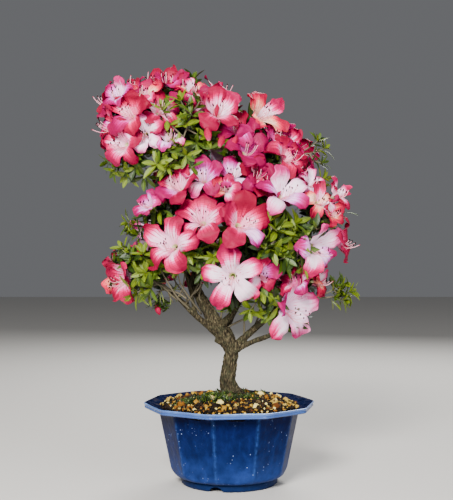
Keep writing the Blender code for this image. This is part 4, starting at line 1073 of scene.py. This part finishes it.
def add_moss(land, dice):
    """Cushions of moss round the trunk, made of short bent blades."""
    pile = Pile()
    least, more, varied = MOSS_TINTS
    for (x, y), wide, deep, height in MOSS_PATCHES:
        count = int(math.pi * wide * deep / MOSS_BLADE_AREA)
        spread = np.sqrt(dice.random(count)) * dice.uniform(*MOSS_SPREAD, count)
        turn = dice.uniform(0, 2 * math.pi, count)
        foot_x, foot_y = x + wide * spread * np.cos(turn), y + deep * spread * np.sin(turn)
        clump = height * np.clip(1 - spread ** 2, 0, 1)
        foot = np.stack([foot_x, foot_y, land.heights(foot_x, foot_y) + clump - MOSS_SINK], -1)
        lean = dice.normal(0, MOSS_LEAN, (count, 3)) + UP
        across = unit(np.cross(lean, dice.normal(0, 1, (count, 3))))
        length = dice.uniform(*MOSS_LENGTHS, count)[:, None]
        rows = []
        for share, width in MOSS_BLADE:
            middle = foot + (lean * share - UP * (MOSS_BEND * share ** 2)) * length
            rows.append(np.stack([middle - across * width, middle + across * width], 1))
        tint = np.clip(dice.normal(least + more * clump / height, varied, count), 0, len(MOSS_GREENS) - 1)
        pile.add(np.concatenate(rows, 1), grid_faces(len(MOSS_BLADE), 2), tint.astype(int)[:, None])
    pile.make("moss", skins("leaf", "moss", MOSS_GREENS), ["soil"])


# Trunk and boughs

def limb_line(stations):
    """A limb's smooth centre line, with points about as far apart as its rings should be."""
    line = catmull(stations, LIMB_STEPS)
    steps = np.linalg.norm(np.diff(line[:, :3], axis=0), axis=1)
    along = np.concatenate([[0], np.cumsum(steps)])
    places = np.arange(0, along[-1], RING_SPACING)
    return np.stack([np.interp(places, along, column) for column in line.T], -1)


def bark_relief(line, seed, flare=False):
    """Ridges that run along a limb, knots, and at its foot the root flare."""
    def relief(i, angles):
        """What the bark adds to the limb's radius at each angle of one ring."""
        radius = line[i, 3]
        depth = BARK_RELIEF * min(MOST_RELIEF, radius / BARK_RADIUS)
        out = np.zeros(len(angles))
        for k, angle in enumerate(angles):
            turn = Vector((math.cos(angle), math.sin(angle), 0))
            ridge, lump, grain = (
                noise.noise(turn * (radius * across) + Vector((*offset, i * RING_SPACING * along)))
                for (across, along), offset in zip(BARK_NOISES, ((seed, 0), (0, seed), (0, seed))))
            out[k] = depth * (BARK_LEVEL + RIDGE_SHARE * abs(ridge) + GRAIN_SHARE * grain)
            out[k] += LUMP_SHARE * radius * lump
        if flare:
            height = max(0, line[i, 2] - TRUNK_Z)
            hollow = ROOT_HOLLOW * (1 - np.cos(ROOT_RIDGES * angles + ROOT_TURN)) / 2
            out += ROOT_FLARE * math.exp(-height / ROOT_FLARE_HEIGHT) * (1 - hollow)
        return out
    return relief


def add_limbs():
    """The trunk and all boughs as one skin of bark."""
    wood = Pile()
    for index, (name, stations) in enumerate({"trunk": TRUNK, "stub": STUB, **BOUGHS}.items()):
        line = limb_line(stations)
        sides = max(FEWEST_SIDES, int(2 * math.pi * line[:, 3].max() / RING_SPACING))
        foot = name == "trunk"
        wood.add_tube(line, sides, relief=bark_relief(line, LIMB_SEED * index, foot), level_foot=foot)
    nodes = ["trunk", *(f"bough_{name}" for name in BOUGHS)]
    made = wood.make("trunk_and_boughs", [bark()], nodes)
    joined = made.modifiers.new("Skin", "REMESH")
    joined.mode = "VOXEL"
    joined.voxel_size = VOXEL * MM
    joined.use_smooth_shade = True
    ease = made.modifiers.new("Ease", "SMOOTH")
    ease.factor, ease.iterations = EASING
    apply_modifiers(made)


# Foliage

class Growth:
    """Everything that grows on the limbs: twigs, leaves, blooms and buds, listed before they are made."""

    def __init__(self):
        self.twigs = []
        self.leaves = []
        self.blooms = []
        self.buds = []
        self.limbs = np.concatenate([limb_line(line)[::LIMB_SAMPLES] for line in (TRUNK, *BOUGHS.values())])

    def add_twig(self, places, radii, steps, sides):
        """Lists a twig through some places, and gives its line."""
        line = bent(places, radii, steps)
        self.twigs.append((line, sides))
        return line

    def in_bloom(self, points, margin=BLOOM_BACK, ahead=CLEAR_ZONE):
        """Whether any of some points lies in a bloom, or less than so far ahead of its face."""
        _, radii, heights = zip(*LOBE_LINE)
        for bloom in self.blooms:
            away = (points - bloom["foot"]) / bloom["scale"]
            height = away @ bloom["ahead"]
            radius = np.linalg.norm(away - height[:, None] * bloom["ahead"], axis=1)
            over = height - np.interp(radius, radii, heights)
            if np.any((radius < BLOOM_RADIUS) & (over > -margin) & (over < ahead)):
                return True
        return False

    def in_opening(self, point):
        """Whether a point lies in the opening below the crown's left side."""
        return np.linalg.norm((point[[0, 2]] - OPENING[0]) / OPENING[1]) < 1

    def in_limb(self, points):
        """Whether any of some points lies in the trunk or a bough."""
        away = np.linalg.norm(points[:, None] - self.limbs[None, :, :3], axis=2)
        return bool(np.any(away < self.limbs[:, 3] + LIMB_MARGIN))


class Mass:
    """One mass of foliage while it grows."""

    def __init__(self, name, centre, radii, blooms, growth):
        self.node = f"foliage_{name}"
        self.limb = BOUGHS.get(name, TRUNK)
        self.centre = np.array(centre, float)
        self.radii = np.array(radii, float)
        self.rear = self.centre[1] > REAR_START
        self.growth = growth
        self.dice = random.Random(f"{self.node} {SEED}")
        self.others = []
        self.forks = []
        for throat, right, up, scale, colouring in blooms or self.rear_blooms():
            ahead = heading(right, up)
            foot = np.array(throat, float) - ahead * (FUNNEL_LENGTH * scale)
            growth.blooms.append(dict(foot=foot, ahead=ahead, scale=scale, colouring=colouring, mass=self))

    def rear_blooms(self):
        """The blooms of a back mass, spread over its outer side."""
        turn = math.degrees(math.atan2(self.centre[0], REAR_FOCUS))
        blooms = []
        for k in range(REAR_BLOOMS):
            tilt = REAR_SPREAD * math.sqrt((k + 0.5) / REAR_BLOOMS)
            right = 180 - turn + tilt * math.cos(k * GOLDEN_ANGLE)
            up = tilt * math.sin(k * GOLDEN_ANGLE)
            throat = self.centre + REAR_DEPTH * heading(right, up) * self.radii
            colouring = self.dice.choice(REAR_COLOURINGS)
            scale = self.dice.uniform(*REAR_SCALES)
            if not self.growth.in_opening(throat):
                blooms.append((throat, right, up, scale, colouring))
        return blooms

    def depth(self, point):
        """How far out a point lies: 0 at the centre, 1 on the mass's oval."""
        return float(np.linalg.norm((point - self.centre) / self.radii))

    def owns(self, point):
        """Whether a point lies in this mass's own space."""
        depth = self.depth(point)
        return depth < OVAL_REACH and all(depth < other.depth(point) for other in self.others)

    def shade(self, point):
        """How bright the leaves are: painted shade, light outside and darker deep in the mass."""
        dark, more, varied = SHADE
        return dark + more * min(1.0, self.depth(point)) + self.dice.uniform(-varied, varied)

    def grow_stem(self):
        """The stem, from its limb's tip towards the mass's centre."""
        before, tip = np.array(self.limb[-2:], float)
        ahead = unit(tip[:3] - before[:3])
        end = tip[:3] + (self.centre - tip[:3]) * STEM_REACH
        bend = tip[:3] + ahead * (np.linalg.norm(end - tip[:3]) * STEM_BEND)
        radii = tip[3] * np.array(STEM_SHAPE)
        line = self.growth.add_twig([tip[:3] - ahead, bend, end], radii, *STEM_FINENESS)
        self.forks += [[place, 0] for place in line[2:, :3]]

    def reach(self, end, ahead, thick=1.0, zone=CLEAR_ZONE):
        """A twig from a near fork to an end that it reaches in a given direction."""
        forks = sorted(self.forks, key=lambda fork: np.linalg.norm(fork[0] - end) + FORK_CROWDING * fork[1])
        share, back, aside = TWIG_BEND
        for fork in forks[:FORKS_TRIED]:
            start = fork[0]
            length = float(np.linalg.norm(end - start))
            if length < TWIG_SHORTEST:
                continue
            sway = np.array([self.dice.uniform(-1, 1) for _ in range(3)]) * aside * length
            bend = start + (end - start) * share - ahead * (back * length) + sway
            line = bent([start, bend, end], thick * np.array(TWIG_RADII), TWIG_FINENESS[0])
            if self.growth.in_bloom(line[2:-1, :3], ahead=zone) or self.growth.in_limb(line[2:, :3]):
                continue
            fork[1] += 1
            self.forks += [[place, 1] for place in line[2:4, :3]]
            self.growth.twigs.append((line, TWIG_FINENESS[1]))
            return line
        return None

    def leaf(self, root, ahead, angle, tilt, length, shade, zone=CLEAR_ZONE):
        """Lists a leaf that leans out from a shoot, if it keeps to its own space and clear of all else."""
        out = spoke(ahead, angle)
        direction = unit(ahead * math.cos(tilt) + out * math.sin(tilt))
        if zone > FREE_ZONE and not self.owns(root + direction * (LEAF_REACH * length)):
            return
        samples = root + np.outer(LEAF_SAMPLES, direction) * length
        if self.growth.in_bloom(samples, ahead=zone) or self.growth.in_limb(samples):
            return
        if any(self.growth.in_opening(sample) for sample in samples[:-1]):
            return
        facing = ahead * math.sin(tilt) - out * math.cos(tilt)
        shade += self.dice.uniform(-LEAF_SHADE, LEAF_SHADE)
        self.growth.leaves.append((self.rear, root, direction, facing, length, shade))

    def rosette(self, end, ahead, size, shade, count, zone=CLEAR_ZONE):
        """Leaves that open from a twig's end, the inner ones steeper and smaller."""
        steepest, more, varied = ROSETTE_TILTS
        smallest, bigger = ROSETTE_SIZES
        turn = self.dice.uniform(0, 2 * math.pi)
        for k in range(count):
            share = (k + 0.5) / count
            tilt = math.radians(steepest + more * share + self.dice.uniform(-varied, varied))
            length = size * (smallest + bigger * share) * self.dice.uniform(*ROSETTE_VARIETY)
            root = end - ahead * (ROSETTE_HEIGHT * share)
            tone = shade + ROSETTE_SHADE * (0.5 - share)
            self.leaf(root, ahead, turn + k * GOLDEN_ANGLE, tilt, length, tone, zone)

    def dress_blooms(self):
        """A twig and leaves behind each of the mass's blooms."""
        for bloom in self.growth.blooms:
            if bloom["mass"] is not self:
                continue
            foot, ahead = bloom["foot"], bloom["ahead"]
            self.reach(foot, ahead, BLOOM_TWIG)
            turn = self.dice.uniform(0, 2 * math.pi)
            for k in range(WHORL_LEAVES):
                tilt = math.radians(self.dice.uniform(*WHORL_TILTS))
                root = foot - ahead * self.dice.uniform(*WHORL_PLACES)
                length = LEAF_LENGTH * self.dice.uniform(*WHORL_SIZES)
                tone = self.shade(root) + WHORL_SHADE
                self.leaf(root, ahead, turn + k * GOLDEN_ANGLE, tilt, length, tone)

    def grow_seen_spray(self, end, ahead, size):
        """A bright shoot with leaves along its outer half and a rosette at its tip."""
        line = self.reach(end, ahead, SPRAY_TWIG, FREE_ZONE)
        if line is None:
            return
        shade = self.dice.uniform(*SPRAY_SHADES)
        self.rosette(end, ahead, size, shade, SPRAY_LEAVES, FREE_ZONE)
        along = unit(end - line[-3, :3])
        first, step = SIDE_LEAF_PLACES
        for k in range(SIDE_LEAVES):
            length = size * self.dice.uniform(*SIDE_LEAF_SIZES)
            self.leaf(end - along * (first + step * k), along, k * GOLDEN_ANGLE, SIDE_LEAF_TILT, length,
                      shade - SIDE_LEAF_SHADE, FREE_ZONE)

    def grow_sprays(self):
        """Leafy shoots spread evenly through the mass, each with its side shoots."""
        turn = self.dice.uniform(0, 2 * math.pi)
        grown = 0
        for k in range(SPRAYS_TRIED):
            level = 1 - 2 * ((k * GOLDEN_RATIO) % 1)
            flat = math.sqrt(1 - level * level)
            angle = turn + k * GOLDEN_ANGLE
            ahead = np.array((flat * math.cos(angle), flat * math.sin(angle), level))
            ahead = unit(ahead + SPRAY_LIFT * UP)
            end = self.centre + ahead * self.radii * self.dice.uniform(*SPRAY_DEPTHS)
            size = LEAF_LENGTH * self.dice.uniform(*SPRAY_SIZES)
            if not self.owns(end) or self.growth.in_bloom(end[None], margin=SHOOT_BACK):
                continue
            line = self.reach(end, ahead)
            if line is None:
                continue
            grown += 1
            shade = self.shade(end)
            self.rosette(end, ahead, size, shade, self.dice.randint(*ROSETTE_LEAVES))
            self.side_shoots(line, ahead, size * SHOOT_SIZE, shade + SHOOT_SHADE)
            if grown % BUD_TO_SPRAYS == 0:
                self.growth.buds.append((self.rear, end, ahead, self.dice.uniform(*BUD_LENGTHS)))
            if grown == SPRAYS:
                break

    def side_shoots(self, line, ahead, size, shade):
        """Short shoots off the outer half of a twig, each with a small rosette."""
        for _ in range(SIDE_SHOOTS):
            start = line[self.dice.randint(*SHOOT_STARTS), :3]
            spread = unit(np.array([self.dice.gauss(0, 1) for _ in range(3)]))
            direction = unit(ahead * SHOOT_PULL[0] + spread + SHOOT_PULL[1] * UP)
            end = start + direction * self.dice.uniform(*SHOOT_LENGTHS)
            if self.growth.in_bloom(end[None], margin=SHOOT_BACK) or not self.owns(end):
                continue
            bend = (start + end) / 2 + ahead * SHOOT_ARCH
            self.growth.add_twig([start, bend, end], SHOOT_RADII, *SHOOT_FINENESS)
            self.rosette(end, direction, size, shade, self.dice.randint(*SHOOT_LEAVES))


def sheet(foot, axes, parts):
    """The points of many sheets, each with a foot and three axes, and with parts along each axis."""
    return foot[:, None, None] + sum(axis[:, None, None] * part[..., None]
                                     for axis, part in zip(axes, parts))


def make_leaves(leaves, name, nodes, dice):
    """All leaves listed, as one piece: each folded at its midrib and arched, the midrib lighter."""
    root, ahead, facing, length, shade = (np.array(values) for values in list(zip(*leaves))[1:])
    length = length[:, None, None]
    across = unit(np.cross(ahead, facing))
    count = len(leaves)

    def each(limits):
        """A value of its own for each leaf."""
        return dice.uniform(*limits, (count, 1, 1))

    along = np.linspace(0, 1, LEAF_ROWS)[None, :, None]
    side = np.array(LEAF_COLUMNS)[None, None, :]
    outline = np.sin(math.pi * np.clip(along, *LEAF_ENDS) ** LEAF_POWERS[0]) ** LEAF_POWERS[1]
    width = LEAF_WIDTH / 2 * (length / LEAF_LENGTH) ** LEAF_GROWTH * each(LEAF_WIDTHS)
    half = np.maximum(width * outline, LEAF_THINNEST)
    fold, arch, twist = each(LEAF_FOLDS), each(LEAF_ARCHES), each(LEAF_TWISTS)
    lift = half * np.abs(side) * fold - arch * length * along ** 2 + side * half * twist * along
    points = sheet(root, (ahead, across, np.cross(across, ahead)), (along * length, side * half, lift))
    level = np.clip((shade * (len(GREENS) - 1)).round().astype(int), 0, len(GREENS) - 2)
    midrib = np.array([0, 1, 0] * (LEAF_ROWS - 1))
    pile = Pile()
    faces = grid_faces(LEAF_ROWS, len(LEAF_COLUMNS))
    pile.add(points.reshape(count, -1, 3), faces, level[:, None] + midrib)
    pile.make(name, skins("leaf", "leaf", GREENS), nodes)


def per_lobe(values):
    """A value of each bloom, once for each of its lobes."""
    return np.repeat(values, LOBES, 0)


def lobe_points(blooms, dice):
    """The points of every lobe of every bloom, and their places along and across the lobe."""
    count = len(blooms) * LOBES
    foot, ahead = (per_lobe([bloom[key] for bloom in blooms]) for key in ("foot", "ahead"))
    up = per_lobe([frame_of(bloom["ahead"])[0] for bloom in blooms])
    across = np.cross(ahead, up)
    scale, fullness = (per_lobe(values)[:, None, None] for values in (
        [bloom["scale"] for bloom in blooms], [FULLNESS[bloom["colouring"]] for bloom in blooms]))
    turn = np.tile(FIFTH * np.arange(LOBES), len(blooms))
    turn = turn + per_lobe(dice.normal(0, BLOOM_TURN, len(blooms)))
    turn = (turn + dice.normal(0, LOBE_TURN, count))[:, None]
    out = up * np.cos(turn) + across * np.sin(turn)
    beside = across * np.cos(turn) - up * np.sin(turn)

    def each(what):
        """A value of its own for each lobe."""
        return dice.uniform(*LOBE_VARIETY[what], (count, 1, 1))

    share = np.linspace(0, 1, LOBE_ROWS)[None, :, None]
    share = share + ROW_SHIFT * np.sin(math.pi * share) * share
    side = np.array(LOBE_COLUMNS)[None, None, :]
    place, radius, height = np.array(LOBE_LINE).T
    reach, rise = np.interp(share, place, radius), np.interp(share, place, height)
    low, high = LOBE_PARTS
    parted = fade(share, low, high - low)
    beyond = np.clip((share - high) / (1 - high), 0, 1)
    start, *powers = LOBE_ROUNDING
    outer = np.clip((beyond - start) / (1 - start), 0, 1)
    belly = LOBE_WAIST + (LOBE_WIDTH - LOBE_WAIST) * smooth(beyond / LOBE_WIDEST)
    waves = np.sin(CRINKLE[1] * beyond + each("phase") + each("lag") * np.sign(side))
    half = (belly * np.maximum(1 - outer ** powers[0], NARROWEST) ** powers[1] * each("width") * fullness
            * (1 + CRINKLE[0] * waves * beyond))
    wrap = side * FIFTH / 2
    radial = (1 - parted) * reach * np.cos(wrap) + parted * reach * (1 + (each("reach") - 1) * beyond)
    lateral = (1 - parted) * reach * np.sin(wrap) + parted * half * side + each("sway") * beyond ** 2
    radial = radial - parted * GATHER * half * side ** 2 * (1 - outer)
    ruffle = each("ruffle") * np.sin(RUFFLE_PACE * beyond + each("phase") + RUFFLE_LAG * np.sign(side))
    ruffle = ruffle + each("frill") * np.sin(FRILL_PACE * beyond + each("phase"))
    ruffle = ruffle * (np.abs(side) ** EDGE_POWER * beyond)
    fold = np.where(side > 0, each("fold"), each("fold")) * np.abs(side) ** FOLD_POWER
    curl = each("curl") * beyond ** CURL_POWER
    bend = each("cup") * side ** 2 + fold + ruffle + OVERLAP[0] * side * (1 - OVERLAP[1] * beyond)
    lift = rise - curl + parted * bend - GROOVE[0] * np.exp(-(side / GROOVE[1]) ** 2) * beyond
    pitch = DROOP * np.cos(turn)[:, None] + each("pitch")
    pitch = pitch + per_lobe(dice.normal(0, BLOOM_PITCH, len(blooms)))[:, None, None]
    pitch = pitch * smooth(beyond * PITCH_START)
    hinge_radius, hinge_height = (np.interp(high, place, values) for values in (radius, height))
    away, above = radial - hinge_radius, lift - hinge_height
    radial = hinge_radius + away * np.cos(pitch) - above * np.sin(pitch)
    lift = hinge_height + away * np.sin(pitch) + above * np.cos(pitch)
    points = sheet(foot, (out, beside, ahead), (scale * radial, scale * lateral, scale * lift))
    return points.reshape(count, -1, 3), share, side


def lobe_tints(blooms, share, side, dice):
    """The tint of every face of every lobe: pale inside, warm at its rim, with darker veins and specks."""
    count = len(blooms) * LOBES
    names = list(COLOURINGS)
    own = per_lobe([bloom["colouring"] for bloom in blooms])
    chosen = [dice.choice(KIN[name]) if dice.random() < KIN_SHARE else name for name in own]
    base = np.array([names.index(name) * TINTS for name in chosen])[:, None, None]
    flush = np.array([FLUSH[name] for name in own])[:, None, None]
    flush = flush + dice.normal(0, FLUSH_VARIETY, (count, 1, 1))
    share = (share[:, 1:] + share[:, :-1]) / 2
    side = (side[..., 1:] + side[..., :-1]) / 2
    strips = side.shape[-1]
    streaks = dice.normal(0, STREAKS, (count, 1, strips)) * fade(share, *STREAK_FADE)
    tip = fade(share + FLUSH_PULL * flush + streaks, *FLUSH_FADE)
    edge = side ** 2 * fade(share, *EDGE_FADE) * dice.uniform(*EDGE_FLUSH, (count, 1, 1))
    lean = dice.normal(0, FLUSH_LEAN, (count, 1, 1)) * side
    rim = 1 - (1 - tip) * (1 - edge) + flush * FLUSH_LIFT + lean * share + streaks
    veined = np.isin(np.arange(strips), VEINS)
    vein = veined * fade(share, *VEIN_FADE_IN) * (1 - fade(share, *VEIN_FADE_OUT))
    often, middle, reach = SPECKS
    specked = (dice.random(vein.shape) < often * np.tile(SPECKLED_LOBES, len(blooms))[:, None, None])
    specked = specked & veined & (np.abs(share - middle) < reach)
    level = np.clip(rim, 0, 1) * TINTS + VEIN_DEPTH * vein + SPECK_DEPTH * specked
    tints = base + np.clip(level.astype(int), 0, TINTS - 1)
    return np.where(share < THROAT_SHARE, len(COLOURINGS) * TINTS, tints).reshape(count, -1)


def bud_shapes(buds):
    """The points and tints of pointed buds, their petals twisted round each other."""
    share = np.linspace(0, 1, BUD_ROWS)
    girth = np.interp(share, *zip(*BUD_PROFILE))
    angles = circle(BUD_SIDES)
    ridges = 1 + BUD_RIDGES * np.cos(LOBES * (angles[None] + BUD_TWIST * share[:, None]))
    shapes = []
    for _, end, ahead, length in buds:
        spokes = np.array([spoke(ahead, angle) for angle in angles])
        radius = (girth[:, None] * ridges * length / BUD_LENGTHS[1])[..., None]
        shapes.append(end + ahead * (share * length)[:, None, None] + spokes[None] * radius)
    levels = np.clip((share[1:] * TINTS * BUD_DEPTH).astype(int), 1, TINTS - 1)
    tints = list(COLOURINGS).index("red") * TINTS + np.repeat(levels, BUD_SIDES)
    return np.array(shapes).reshape(len(buds), -1, 3), tints


def make_blooms(blooms, buds, name, nodes, dice):
    """All petals and buds listed, as one piece."""
    pile = Pile()
    points, share, side = lobe_points(blooms, dice)
    pile.add(points, grid_faces(LOBE_ROWS, len(LOBE_COLUMNS)), lobe_tints(blooms, share, side, dice))
    points, tints = bud_shapes(buds)
    pile.add(points, grid_faces(BUD_ROWS, BUD_SIDES, wrap=True), tints)
    materials = [skin("petal", f"petal_{colouring}_{k}", between(codes, k / (TINTS - 1)))
                 for colouring, codes in COLOURINGS.items() for k in range(TINTS)]
    pile.make(name, [*materials, skin("petal", "petal_throat", THROAT_COLOUR)], nodes)


def make_stamens(growth, nodes, dice):
    """Thin curved filaments with dark tips, a longer style, and the green cup behind each bloom and bud."""
    pile = Pile()
    ends, ball_faces = ball(1)
    steps, sides = STAMEN_FINENESS

    def add_cup(place, ahead, profile):
        """Adds a small green cup."""
        line = [(*(place + ahead * along), radius) for along, radius in profile]
        pile.add_tube(np.array(line), CUP_SIDES, 3)

    for bloom in growth.blooms:
        foot, ahead, scale = bloom["foot"], bloom["ahead"], bloom["scale"]
        for k in range(STAMENS + 1):
            style = k == STAMENS
            angle = SPREAD_OF_STAMENS * (2 * (k + 0.5) / STAMENS - 1) * (not style)
            out = spoke(ahead, math.pi - angle - dice.normal(0, STAMEN_TURN))
            length = (STYLE_LENGTH if style else dice.uniform(*STAMEN_LENGTHS)) * scale
            spread = dice.uniform(*STAMEN_SPREADS)
            root = foot + ahead * (STAMEN_START * scale)
            middle = root + unit(ahead + out * spread) * length * STAMEN_BEND
            curl = ahead * STAMEN_PULL[0] + out * (spread + STAMEN_PULL[1])
            curl = curl + frame_of(ahead)[0] * dice.uniform(*STAMEN_CURLS)
            tip = middle + unit(curl) * length * (1 - STAMEN_BEND)
            thick, size = (STYLE_THICKNESS, STIGMA) if style else (STAMEN_THICKNESS, ANTHER)
            pile.add_tube(bent([root, middle, tip], (thick, thick, thick * STAMEN_TAPER), steps), sides)
            pile.add(tip + ends * size, ball_faces, 2 if style else 1)
        add_cup(foot, ahead, CUP)
    for _, end, ahead, _ in growth.buds:
        add_cup(end, ahead, BUD_CUP)
    petals = {"filament": "f2a8b8", "anther": "2a0810", "stigma": "a02048"}
    materials = [skin("petal", name, code) for name, code in petals.items()]
    pile.make("stamens", [*materials, skin("leaf", "calyx", "5c7428")], nodes)


def make_twigs(growth, nodes):
    """All twigs, and the bare ones below the crown, as one piece."""
    pile = Pile()
    for line, sides in growth.twigs:
        pile.add_tube(line, sides, 1 if line[0, 3] < YOUNG_RADIUS else 0)
    steps, sides = BARE_TWIG_FINENESS
    for stations in BARE_TWIGS:
        pile.add_tube(bent(stations, np.linspace(*BARE_TWIG_RADII, len(stations)), steps), sides)
    materials = [skin("twig", "twig_grey", "5e5642"), skin("twig", "twig_green", "7d8a45")]
    pile.make("twigs", materials, nodes)


def add_foliage():
    """Grows all masses side by side, and makes the leaves, blooms, stamens and twigs they list."""
    growth = Growth()
    masses = [Mass(name, *oval_and_blooms, growth) for name, oval_and_blooms in MASSES.items()]
    for mass in masses:
        mass.others = [other for other in masses if other is not mass]
        mass.grow_stem()
    for mass in masses:
        mass.dress_blooms()
    for place, right, up, size in SPRAYS_SEEN:
        end = np.array(place, float)
        min(masses, key=lambda mass: mass.depth(end)).grow_seen_spray(end, heading(right, up), size)
    for mass in masses:
        mass.grow_sprays()
    growth.buds += [(False, np.array(place, float), heading(right, up), length)
                    for place, right, up, length in BUDS_SEEN]
    dice = np.random.default_rng(SEED)
    for rear, where in ((False, "front"), (True, "back")):
        nodes = [mass.node for mass in masses if mass.rear == rear]
        leaves, buds = ([row for row in rows if row[0] == rear] for rows in (growth.leaves, growth.buds))
        make_leaves(leaves, f"leaves_{where}", nodes, dice)
        blooms = [bloom for bloom in growth.blooms if bloom["mass"].rear == rear]
        make_blooms(blooms, buds, f"blooms_{where}", nodes, dice)
    nodes = [mass.node for mass in masses]
    make_stamens(growth, nodes, dice)
    make_twigs(growth, nodes)


add_camera()
add_studio()
add_pot()
add_soil()
add_limbs()
add_foliage()
